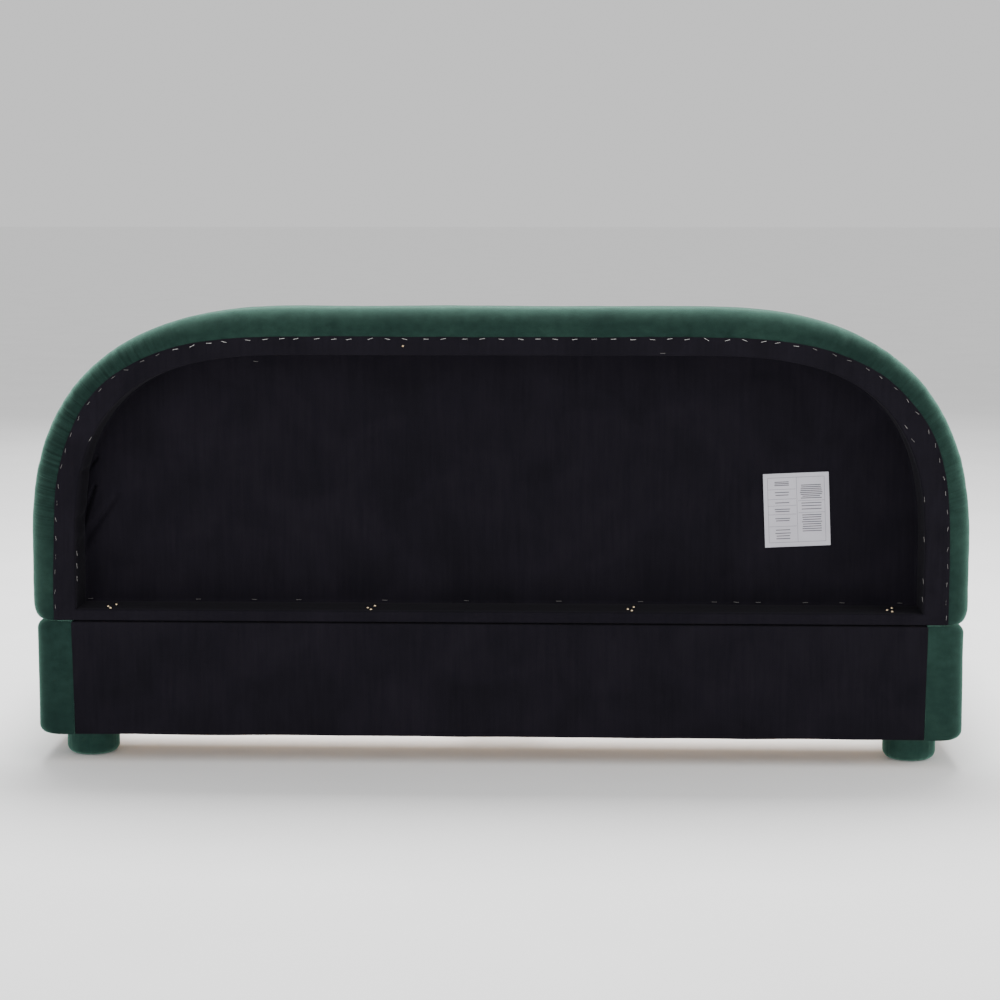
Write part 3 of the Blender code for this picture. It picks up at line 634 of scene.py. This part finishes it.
# Folds that the staples pull at the +X side of the recess: (start, end, half width) in (x, z)
PULL_FOLDS = (
    ((0.772, 0.385), (0.702, 0.480), 0.0100),
    ((0.772, 0.414), (0.742, 0.496), 0.0055),
    ((0.772, 0.505), (0.738, 0.549), 0.0050),
    ((0.772, 0.560), (0.752, 0.600), 0.0040),
)
CLOTH_OFF_WALL = 0.0015
RIM_SHARES = np.linspace(0.05, 1, 9)  # the rim's rows, from the staples to the recess's edge


def in_pull_folds(points):
    """How far each point is in one of the pulled folds, from 0 to 1."""
    groove = np.zeros(points.shape[:2])
    for start, end, width in PULL_FOLDS:
        start, end = np.array(start), np.array(end)
        away = points[..., ::2] - start
        share = np.clip(away @ (end - start) / ((end - start) @ (end - start)), 0, 1)
        gap = np.linalg.norm(away - share[..., None] * (end - start), axis=-1)
        groove = np.maximum(groove, np.exp(-((gap / (width * (1 - 0.5 * share))) ** 2)))
    return groove


def dust_cover_rows():
    """The dust cover's rows, as (points, depth), and the way into the wall at each column."""
    lip, fold = 0.0040, 0.0050  # radii at the recess's edge and at its back
    on_rim = 0.0004
    half_width, top = RECESS_HALF_WIDTH - CLOTH_OFF_WALL, RECESS_TOP - CLOTH_OFF_WALL
    outer = ring(along_staples(), ARCH_BOTTOM)
    inner = ring(arch(half_width, top, FRAME_POWER, LEDGE_TOP), LEDGE_TOP)
    middle = np.array((0.0, 0.50))
    into = inner - middle
    upright = FOOT_STEPS + SIDE_STEPS - 1
    into[len(OUTLINE):, 0] = 0
    into[:upright, 1] = 0
    into[len(OUTLINE) - upright : len(OUTLINE), 1] = 0
    into /= np.linalg.norm(into, axis=1, keepdims=True)

    def drawn_in(amount):
        """The recess's ring made smaller by an amount, its lower corners kept square."""
        line = inner - into * amount
        line[:, 1] = np.maximum(line[:, 1], LEDGE_TOP + amount)
        line[:, 0] = np.clip(line[:, 0], -inner[0][0] + amount, inner[0][0] - amount)
        return line

    rows = [(outer, 0.0014), (outer - into * 0.0004, 0.0006)]
    edge = inner + into * lip
    for t in RIM_SHARES:
        rows.append((outer + (edge - outer) * t, on_rim + 0.0005 * math.sin(math.pi * t)))
    for angle in quarter(6)[1:]:
        line = inner + into * lip * (1 - math.sin(angle))
        rows.append((line, on_rim + lip * (1 - math.cos(angle))))
    rows += [(inner, depth) for depth in np.linspace(lip, RECESS_DEPTH - fold, 20)[1:]]
    for angle in quarter(6)[1:]:
        line = drawn_in(fold * (1 - math.cos(angle)))
        rows.append((line, RECESS_DEPTH - fold * (1 - math.sin(angle))))
    floor = rows[-1][0]
    for t in np.linspace(0, 1, 92)[1:]:
        rows.append((middle + (floor - middle) * (1 - t * (0.24 + 0.75 * t)), RECESS_DEPTH))
    return rows, into


def make_headboard_dust_cover():
    """Black cloth over the rim, rolled into the recess, down its walls and across its back."""
    rows, into = dust_cover_rows()
    points = np.array([[(x, REAR_Y - depth, z) for x, z in line] for line, depth in rows])

    # how far each point is on a wall or the back, and how slack each row on the rim is
    depth = REAR_Y - points[..., 1]
    wall = np.clip(np.sin(np.pi * np.clip(depth / RECESS_DEPTH, 0, 1)), 0, 1)
    back = np.clip((depth - 0.090) / 0.008, 0, 1)
    slack = np.zeros((len(rows), 1))
    slack[2 : 2 + len(RIM_SHARES), 0] = np.sin(np.pi * RIM_SHARES)

    # waver of the cloth, and the patch at +X that stands off with folds pulled into it
    loose = 0.0016 * smooth_noise(points, (7.0, 9.0, 7.0), 3.0)
    small = 0.0006 * smooth_noise(points, (28.0, 20.0, 18.0), 6.0)
    patch_x, patch_z = (points[..., 0] - 0.745) / 0.050, (points[..., 2] - 0.46) / 0.10
    drawn = 0.0100 * np.exp(-(patch_x**2) - patch_z**2) * (1 - in_pull_folds(points))
    proud = np.maximum(loose, -0.0003) + np.maximum(small, 0)
    points[..., 1] += back * (proud + drawn)
    ripple = np.maximum(smooth_noise(points, (34.0, 1.0, 26.0), 14.0), 0)
    points[..., 1] += 0.0022 * slack * ripple
    inside = (wall * (1 - back) * (np.maximum(loose + small, 0) + drawn))[..., None]
    points[..., ::2] -= inside * into[None]

    count, columns = points.shape[:2]
    faces = grid_faces(count, columns, closed=True)
    faces.append(tuple(range((count - 1) * columns, count * columns)))
    cover = finished("headboard_dust_cloth", points, faces, "cambric", slot="black_cambric")
    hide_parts("headboard_dust_cover")


def make_head_rail_skirt():
    """The black cloth over the rear of the head rail."""
    width, height = SKIRT_HIGH.x, SKIRT_HIGH.z - SKIRT_LOW.z
    turned_under, columns = 0.051, 360
    xs, shares = np.linspace(-1, 1, columns), np.linspace(0, 1, 52)
    grid = np.array([[(x, REAR_Y + 0.0008, SKIRT_LOW.z + height * t) for x in xs] for t in shares])
    below = 1 - shares[:, None]
    side = width + 0.0022 - 0.0030 * below + 0.0008 * smooth_noise(grid, (0.1, 1.0, 22.0), 4.0)
    grid[..., 0] *= side
    waves = 0.0010 * smooth_noise(grid, (5.0, 1.0, 3.0), 11.0)
    waves = waves + 0.0004 * smooth_noise(grid, (30.0, 1.0, 5.0), 12.0)
    at_hem = np.exp(-((shares[:, None] / 0.03) ** 2))
    at_side = np.exp(-(((np.abs(xs)[None] - 1) / 0.004) ** 2))
    curl = np.clip(at_hem + at_side, 0, 1)
    grid[..., 1] += np.clip(waves, -0.0003, 0.0012) * (1 - curl) - 0.0005 * curl
    grid[..., 2] += below**8 * 0.0010 * smooth_noise(grid, (7.0, 1.0, 1.0), 2.0)
    under = [grid[:1] - np.array((0, back, 0.0008)) for back in (0.020, 0.0010)]
    over = [grid[-1:] + np.array((0, -back, 0.0008)) for back in (0.0010, 0.030)]
    grid = np.concatenate([*under, grid, *over])
    faces = grid_faces(len(grid), columns, flip=True)
    skirt = finished("head_rail_dust_cloth", grid, faces, "cambric", slot="black_cambric")
    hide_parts("head_rail_dust_cover")


def make_head_rail_turn():
    """The velvet turned over the head rail's top, in front of the headboard."""
    front, half, bend = REAR_Y - 0.148, STRIP_HIGH.x, 0.0045
    path = [(REAR_Y - 0.100, BASE_TOP)]
    for angle in quarter(7):
        path.append((front + bend * (1 - math.sin(angle)), BASE_TOP - bend * (1 - math.cos(angle))))
    path = evenly(path + [(front, STRIP_LOW.z)], 40)
    xs = np.linspace(-half, half, 260)
    rows = np.array([[(x, y, z) for x in xs] for y, z in path])
    rows[..., 1] -= 0.0006 * smooth_noise(rows, (8.0, 8.0, 8.0), 3.0) - 0.0002
    faces = grid_faces(*rows.shape[:2])
    strip = finished("head_rail_velvet_turn", rows, faces, "velvet", slot="green_velvet")
    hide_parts("head_rail_velvet_strip")


# ------------------------------------------------------------------ upholstered rails


RAIL_HEM_Z = 0.200
UNDER_HEM_INSET = 0.037
RAIL_WAVER = 0.0012


def rail_section(hem):
    """(distance in from the outer face, z) of a rail's velvet, from its hem over and under."""
    small, large, low = 0.004, 0.017, 0.015
    inner = [(RAIL_THICKNESS, z) for z in np.linspace(hem, BASE_TOP - small, 24)]
    path = inner[-1:]
    corners = (
        (RAIL_THICKNESS - small, BASE_TOP - small, small, 180, 90),
        (large, BASE_TOP - large, large, 90, 0),
        (low, BASE_BOTTOM + low, low, 0, -90),
    )
    for inset, z, radius, start, end in corners:
        for angle in quarter(9, start, end):
            path.append((inset - radius * math.cos(angle), z + radius * math.sin(angle)))
    path.append((UNDER_HEM_INSET, BASE_BOTTOM))
    return np.concatenate([inner[:-1], evenly(path, 110)])


def padded_share(inset):
    """1 over a rail's foam, and 0 on its inner face, where the velvet lies on the board."""
    return np.clip((RAIL_THICKNESS - 0.012 - inset) / 0.02, 0, 1)


def soften(points, normals, seed):
    """Foam under velvet: a slow waver of the surface, and slight pulls."""
    wide = RAIL_WAVER * smooth_noise(points, (4.0, 4.0, 6.0), seed)
    small = 0.3 * RAIL_WAVER * smooth_noise(points, (22.0, 22.0, 22.0), seed + 3)
    return points + normals * (wide + small)[..., None]


def make_side_rail(side, name):
    """A full-length padded rail, its rear end rounded and closed with velvet."""
    radius, head_rail_depth = 0.030, 0.141
    section, beside_head_rail = rail_section(RAIL_HEM_Z), rail_section(BASE_BOTTOM + 0.0025)
    stations = [(y, 0.0, 0.0) for y in np.linspace(RAIL_LOW.y, REAR_Y - radius, 240)]
    for a in quarter(12)[1:]:
        stations.append((REAR_Y - radius * (1 - math.sin(a)), 1 - math.cos(a), math.sin(a)))
    points, normals = [], []
    for y, turn, back in stations:
        line = beside_head_rail if y > REAR_Y - head_rail_depth else section
        rest = np.clip((RAIL_THICKNESS - line[:, 0]) / (RAIL_THICKNESS - UNDER_HEM_INSET), 0, 1)
        x = HALF_BASE - line[:, 0] - radius * turn * rest
        points.append(np.stack([side * x, np.full(len(x), y), line[:, 1]], -1))
        slope = np.gradient(line, axis=0)
        facing = unit(np.stack([-slope[:, 1], -slope[:, 0]], -1)) * (1 - back)
        normal = np.stack([side * facing[:, 0], np.full(len(x), back), -facing[:, 1]], -1)
        normals.append(unit(normal))
    points, normals = np.array(points), np.array(normals)
    outside = padded_share(HALF_BASE - np.abs(points[..., 0]))[..., None]
    points = soften(points, normals * outside * -1, 3.0 + side)
    points[..., 1] = np.minimum(points[..., 1], REAR_Y)
    count, columns = points.shape[:2]
    faces = grid_faces(count, columns, flip=side < 0)
    end = list(range((count - 1) * columns, count * columns))
    faces.append(tuple(end[::-1] if side < 0 else end))

    # the velvet that runs in behind the black cloth's edge
    flap = [
        (side * x, REAR_Y - 0.0016, z)
        for z in (BASE_BOTTOM + 0.003, BASE_TOP - 0.003)
        for x in (RAIL_LOW.x - 0.012, RAIL_LOW.x + 0.002)
    ]
    faces += grid_faces(2, 2, flip=side > 0, start=count * columns)
    vertices = np.concatenate([points.reshape(-1, 3), flap])
    rail = finished(f"side_rail_pad_{name}", vertices, faces, "velvet", slot="green_velvet")
    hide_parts(f"side_rail_cover_{name}", f"side_rail_foam_{name}")


def make_foot_rail():
    """The padded rail across the foot end, with rounded corners."""
    front, radius = FOOT_LOW.y, 0.0375
    section = rail_section(RAIL_HEM_Z)
    plan, facing = [], []
    for y in np.linspace(FOOT_HIGH.y, front + radius, 8)[:-1]:
        plan.append((HALF_BASE, y))
        facing.append((1, 0))
    for a in quarter(22):
        plan.append((HALF_BASE - radius * (1 - math.cos(a)), front + radius * (1 - math.sin(a))))
        facing.append((math.cos(a), -math.sin(a)))
    for x in np.linspace(HALF_BASE - radius, 0, 130)[1:]:
        plan.append((x, front))
        facing.append((0, -1))
    plan += [(-x, y) for x, y in plan[-2::-1]]
    facing += [(-x, y) for x, y in facing[-2::-1]]
    rows, normals = [], []
    for (inset, z), (along, up) in zip(section, unit(np.gradient(section, axis=0))):
        row = []
        for (x, y), (u, v) in zip(plan, facing):
            reach = min(inset, radius)
            past = inset - reach
            px, py = x - u * reach, y - v * reach
            if v == 0:
                px, py = px - u * past, max(py, front + inset)
            elif u == 0:
                limit = HALF_BASE - inset
                px, py = min(max(px, -limit), limit), py + past
            else:
                px, py = px - math.copysign(past, px), py + past
            row.append((px, py, z))
        rows.append(row)
        normals.append([(u * -up, v * -up, along) for u, v in facing])
    points, normals = np.array(rows), np.array(normals)
    points = soften(points, normals * padded_share(section[:, 0])[:, None, None], 21.0)
    faces = grid_faces(*points.shape[:2], flip=True)
    rail = finished("foot_rail_pad", points, faces, "velvet", slot="green_velvet")
    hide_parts("foot_rail_cover", "foot_rail_foam")


# ------------------------------------------------------------------ feet


# Where each foot's seam is, in degrees about its axis
FOOT_SEAMS = {"head_left": 92, "head_right": 250, "foot_left": 80, "foot_right": 100}


def make_foot(name, seam):
    """A velvet sleeve on a round foot, gathered at its top, with one sewn seam."""
    low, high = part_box(f"foot_sleeve_{name}")
    centre, radius, top = (low + high) / 2, (high.x - low.x) / 2, high.z
    top_bend, low_bend, low_bend_z, sides = 0.0070, 0.0145, 0.0153, 160
    profile = [(0.0260, top)]
    for a in quarter(8):
        profile.append((radius - top_bend * (1 - math.sin(a)), top - top_bend * (1 - math.cos(a))))
    for a in quarter(11):
        profile.append((radius - low_bend * (1 - math.cos(a)), low_bend_z - low_bend * math.sin(a)))
    profile = evenly(profile + [(0.0250, 0.0008), (0.0243, 0.0022)], 58)
    angles = 2 * np.pi * np.arange(sides) / sides
    cosines, sines = np.cos(angles), np.sin(angles)
    from_seam = np.abs((angles - seam + np.pi) % (2 * np.pi) - np.pi)
    groove = 0.0009 * np.exp(-((from_seam / 0.022) ** 2))
    groove = groove - 0.0003 * np.exp(-(((from_seam - 0.06) / 0.03) ** 2))
    rows = []
    for r, z in profile:
        upper = np.clip((z - top + 0.016) / 0.012, 0, 1)
        lower = np.clip((0.012 - z) / 0.010, 0, 1)
        around = np.stack([cosines * 3.2 + centre.x * 9, sines * 3.2, np.full(sides, z * 30)], -1)
        gather = smooth_noise(around * (2.6, 2.6, 0.4), 1.0, centre.y)
        gather = gather * (0.0004 + 0.0011 * upper + 0.0006 * lower)
        full = np.clip((r - 0.028) / 0.012, 0, 1)
        radial = r - (groove + np.maximum(gather, -0.0010)) * full - 0.0004 * full
        x, y = centre.x + radial * cosines, centre.y + radial * sines
        rows.append(np.stack([x, y, np.full(sides, z)], -1))
    faces = grid_faces(len(rows), sides, closed=True, flip=True)
    # the sleeve takes the velvet's 2.1 times lighter copy, painted light against the shade under
    # the bed
    sleeve = finished(f"foot_velvet_{name}", rows, faces, "velvet_foot_painted_light", slot="green_velvet")
    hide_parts(f"foot_sleeve_{name}")


# ------------------------------------------------------------------ hardware


WIRE_RADIUS = 0.00029
RECESS_STAPLE = 0.0085
# Staples in the recess, as seen in the photo: along the ledge, on its walls, and four astray
LEDGE_STAPLES = (
    0.755, 0.555, 0.451, 0.369, 0.210, 0.060, -0.110,
    -0.260, -0.395, -0.435, -0.475, -0.561, -0.628, -0.733,
)
WALL_STAPLES = (
    (0.7584, 0.3853), (0.7590, 0.3623), (0.7594, 0.3396), (-0.7610, 0.4183),
    (-0.7600, 0.4901), (-0.7612, 0.3429), (-0.7606, 0.3101),
)
STRAY_STAPLES = (
    (-0.2935, 0.7490, 0.0), (-0.7249, 0.6196, 0.9),
    (-0.7375, 0.5958, 0.8), (0.7300, 0.5928, -1.0),
)


def staple(x, z, angle, depth, length):
    """A wire staple: its crown stands on the cloth and its legs go in."""
    along = Vector((math.cos(angle), 0, math.sin(angle)))
    middle = Vector((x, REAR_Y - depth, z))
    half, rise, bend, leg = length / 2, 0.0006, 0.0008, 0.0015
    steps = (
        (-half, -leg), (-half, rise * 0.7), (bend - half, rise),
        (half - bend, rise), (half, rise * 0.7), (half, -leg),
    )
    return tube([middle + along * a + Vector((0, out, 0)) for a, out in steps], WIRE_RADIUS)


def make_staples():
    """The staples round the dust cover, in the recess's corners and along the ledge. Those off the
    top of the rim, and those listed about the recess, take a darker copy of the wire's look as
    painted shade.
    """
    bright, shaded = [], []
    for i, run in enumerate(STAPLE_RUNS):
        j = int(np.searchsorted(RUN, run))
        inset = 0.0042 + 0.0016 * noise.noise(Vector((i * 2.3, 0.4, 9.0)))
        x, z = STAPLE_LINE[j] - STAPLES_OUT[j] * inset
        lean = 0.65 * noise.noise(Vector((i * 1.9, 5.5, 2.0)))
        angle = math.atan2(STAPLES_OUT[j][0], -STAPLES_OUT[j][1]) + lean
        # staples away from the top of the rim get the darker copy of the same wire, as painted
        # shade
        if -0.55 <= x <= 0.60:
            bright.append(staple(x, z, angle, 0.0004, 0.0090))
        else:
            shaded.append(staple(x, z, angle, 0.0007, 0.0075))
    finished("rim_staples", *joined(bright), "staple")
    finished("side_staples", *joined(shaded), "dull_staple")

    made = []
    for x in LEDGE_STAPLES:
        tilt = 0.25 * noise.noise(Vector((x * 40, 1.0, 0)))
        z, depth = LEDGE_TOP + 0.0045, RECESS_DEPTH - 0.0045
        made.append(staple(x, z, tilt, depth, RECESS_STAPLE))
    for x, z in WALL_STAPLES:
        made.append(staple(x, z, math.radians(84), 0.0004, RECESS_STAPLE))
    made.append(staple(0.4433, 0.7262, 0.1, RECESS_DEPTH - 0.0030, RECESS_STAPLE))
    for x, z, tilt in STRAY_STAPLES:
        made.append(staple(x, z, tilt, 0.0004, RECESS_STAPLE))
    finished("recess_staples", *joined(made), "dull_staple")


# A screw head's outline, as (share of its radius, height): a dome with a dimple for the recess
SCREW_OUTLINE = (
    (1.00, -0.0002), (1.00, 0.0004), (0.93, 0.0011), (0.72, 0.0018),
    (0.42, 0.0021), (0.30, 0.0016), (0.14, 0.0009),
)
LEDGE_SCREWS = ((0.7045, 0.036), (0.2302, 0.036), (-0.2414, 0.038), (-0.7095, 0.044))
LEDGE_TRIO = ((-0.005, 0.018), (0.006, -0.003), (-0.001, -0.019))


def screw_head(centre, axis, radius):
    profile = [(radius * share, height) for share, height in SCREW_OUTLINE]
    return turned(profile, 16, centre, axis)


def make_screws():
    """The ledge's screws in threes, slat screws, bracket bolts and one nail."""
    ledge = []
    for x, depth in LEDGE_SCREWS:
        for dx, dy in LEDGE_TRIO:
            place = (x + dx, REAR_Y - depth - dy, LEDGE_TOP + 0.0004)
            ledge.append(screw_head(place, "Z", 0.0026))
    finished("ledge_screws", *joined(ledge), "brass")

    heads = []
    for slat in SLATS:
        low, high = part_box(slat)
        for x in (low.x + 0.014, high.x - 0.014):
            for y in (low.y + 0.020, high.y - 0.020):
                heads.append(screw_head((x, y, high.z), "Z", 0.0036))
    finished("slat_screws", *joined(heads), "zinc")

    bolts = []
    plate, bolt_radius, from_edge = 0.0031, 0.0062, 0.016
    for end, way in (("foot", 1), ("head", -1)):
        for name, side in (("left", 1), ("right", -1)):
            low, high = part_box(f"corner_bracket_{end}_{name}")
            reach = (high.x - low.x) * 0.62
            wall_x = high.x if side > 0 else low.x
            wall_y = low.y if way > 0 else high.y
            for z in (low.z + from_edge, high.z - from_edge):
                on_rail = (wall_x - side * plate, wall_y + way * reach, z)
                on_end = (wall_x - side * reach, wall_y + way * plate, z)
                bolts.append(screw_head(on_rail, "-X" if side > 0 else "X", bolt_radius))
                bolts.append(screw_head(on_end, "Y" if way > 0 else "-Y", bolt_radius))
    finished("bracket_bolts", *joined(bolts), "zinc")
    finished("rim_nail", *screw_head((0.1675, REAR_Y - 0.0006, 0.7608), "Y", 0.0020), "brass")


def make_label():
    """A pale paper label in a ruled frame, with plain bars where a real one has its text."""
    low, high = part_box("care_label")
    centre = (low + high) / 2
    lean, half_x, half_z, off_cloth, off_paper = math.radians(2.6), 0.0595, 0.0675, 0.0016, 0.00012
    right = Vector((math.cos(lean), 0, -math.sin(lean)))
    up = Vector((math.sin(lean), 0, math.cos(lean)))

    def at(u, v, lift=0.0):
        curl = 0.0012 * (abs(u) / half_x) ** 4 * (0.5 + 0.5 * v / half_z)
        return centre + right * u + up * v + Vector((0, lift + curl + off_cloth, 0))

    us, vs = np.linspace(-half_x, half_x, 24), np.linspace(-half_z, half_z, 24)
    sheet = [[at(u, v) for u in us] for v in vs]
    paper = finished("plain_label", sheet, grid_faces(24, 24, flip=True), "label", slot="label")
    bars = []

    def bar(u0, v0, u1, v1):
        steps = max(int(abs(u1 - u0) / 0.006), 1)
        us = np.linspace(u0, u1, steps + 1)
        rows = [[at(u, v, off_paper) for u in us] for v in sorted((v0, v1))]
        bars.append(([p for row in rows for p in row], grid_faces(2, steps + 1, flip=u1 > u0)))

    def block(middle, rows, half, spread, step, seed):
        """Bars of uneven length about one middle, each 1.5 mm high."""
        for i, v in enumerate(rows):
            width = half + spread * noise.noise(Vector((i * step, seed, 0)))
            bar(middle - width, v, middle + width, v + 0.0015)

    frame_u, frame_v, line = 0.0515, 0.0595, 0.0005
    for v in (-frame_v, frame_v):
        bar(-frame_u, v, frame_u, v + line)
    for u in (-frame_u, -0.001, frame_u):
        bar(u, -frame_v, u + line, frame_v)
    for v in (0.038, 0.020, 0.008, -0.008, -0.030):
        bar(0.001, v, frame_u, v + line)
    for v in (0.016, -0.006):
        bar(-frame_u, v, -0.003, v + line)
    one_column = (
        0.051, 0.048, 0.045, 0.032, 0.027, 0.013, 0.001,
        -0.003, -0.016, -0.020, -0.037, -0.043, -0.048, -0.053,
    )
    block(0.026, one_column, 0.013, 0.005, 3.3, 2.0)
    top_rows = [0.044 - 0.0034 * i for i in range(8)]
    low_rows = [-0.011 - 0.0042 * i for i in range(8)]
    block(-0.027, [*top_rows, 0.011, 0.006, 0.000, *low_rows], 0.018, 0.004, 2.1, 7.0)
    print_piece = finished("plain_label_bars", *joined(bars), "ink", smooth=False)
    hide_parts("care_label")


# ------------------------------------------------------------------ the scene


# name: (place, target, size, power, colour)
LIGHTS = {
    "key": ((-3.4, 2.6, 2.0), (0, 1.0, 0.4), (2.2, 1.8), 60, (1.0, 0.99, 0.97)),
    "fill": ((1.0, 4.8, 2.4), (0, 1.0, 0.4), (2.4, 1.8), 26, (0.97, 0.98, 1.0)),
    "low": ((0.6, 5.6, 0.7), (0, 1.0, 0.12), (3.6, 0.8), 90, (1, 1, 1)),
    "top": ((0.0, -0.4, 3.5), (0, 0.9, 0.6), (3.2, 1.6), 300, (1, 1, 1)),
    "foot_end": ((0.5, -4.4, 2.6), (0, 0, 0.3), (3.0, 2.0), 75, (1, 1, 1)),
}
CAMERA_PLACE, CAMERA_DOWN, CAMERA_ASIDE = (-0.15036, 5.39372, 1.03829), 0.12905, 0.03411


def linked(name, data):
    obj = bpy.data.objects.new(name, data)
    bpy.context.scene.collection.objects.link(obj)
    return obj


def make_camera():
    """The photo's camera, behind the headboard."""
    data = bpy.data.cameras.new("camera")
    data.lens, data.sensor_width = 86.4, 36.0
    data.clip_end = 100.0
    camera = linked("camera", data)
    camera.location = CAMERA_PLACE
    camera.rotation_euler = (math.pi / 2 - CAMERA_DOWN, 0.0, math.pi + CAMERA_ASIDE)
    bpy.context.scene.camera = camera


def make_studio():
    """A pale floor, an even sky and the lamps."""
    mesh = bpy.data.meshes.new("floor")
    reach = 60
    corners = [(-reach, -reach, 0), (reach, -reach, 0), (reach, reach, 0), (-reach, reach, 0)]
    mesh.from_pydata(corners, [], [(0, 1, 2, 3)])
    floor = linked("floor", mesh)
    pale = Shader("pale_floor", 0.9, specular=0.1)
    speck = pale.noise(3.0, 2.0)
    pale.colour(pale.ramp(speck, (0.3, (0.90, 0.90, 0.90)), (0.7, (0.93, 0.93, 0.93))))
    mesh.materials.append(pale.material)
    world = bpy.data.worlds.new("studio")
    bpy.context.scene.world = world
    world.use_nodes = True
    sky = world.node_tree.nodes["Background"].inputs
    sky["Color"].default_value = (1, 1, 1, 1)
    sky["Strength"].default_value = 0.85
    for name, (place, target, size, power, colour) in LIGHTS.items():
        data = bpy.data.lights.new(name, "AREA")
        data.shape, data.size, data.size_y = "RECTANGLE", *size
        data.energy, data.color = power, colour
        lamp = linked(name, data)
        lamp.location = place
        way = Vector(target) - Vector(place)
        lamp.rotation_euler = way.to_track_quat("-Z", "Y").to_euler()


def main():
    make_camera()
    make_studio()
    for look, names in CAD_LOOKS.items():
        for name in names:
            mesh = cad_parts[name].data
            mesh.materials.clear()
            mesh.materials.append(LOOKS[look])
    make_headboard_pad()
    make_headboard_dust_cover()
    make_head_rail_skirt()
    make_head_rail_turn()
    make_side_rail(1, "left")
    make_side_rail(-1, "right")
    make_foot_rail()
    for corner, seam in FOOT_SEAMS.items():
        make_foot(corner, math.radians(seam))
    make_staples()
    make_screws()
    make_label()
    bpy.context.view_layer.update()


main()
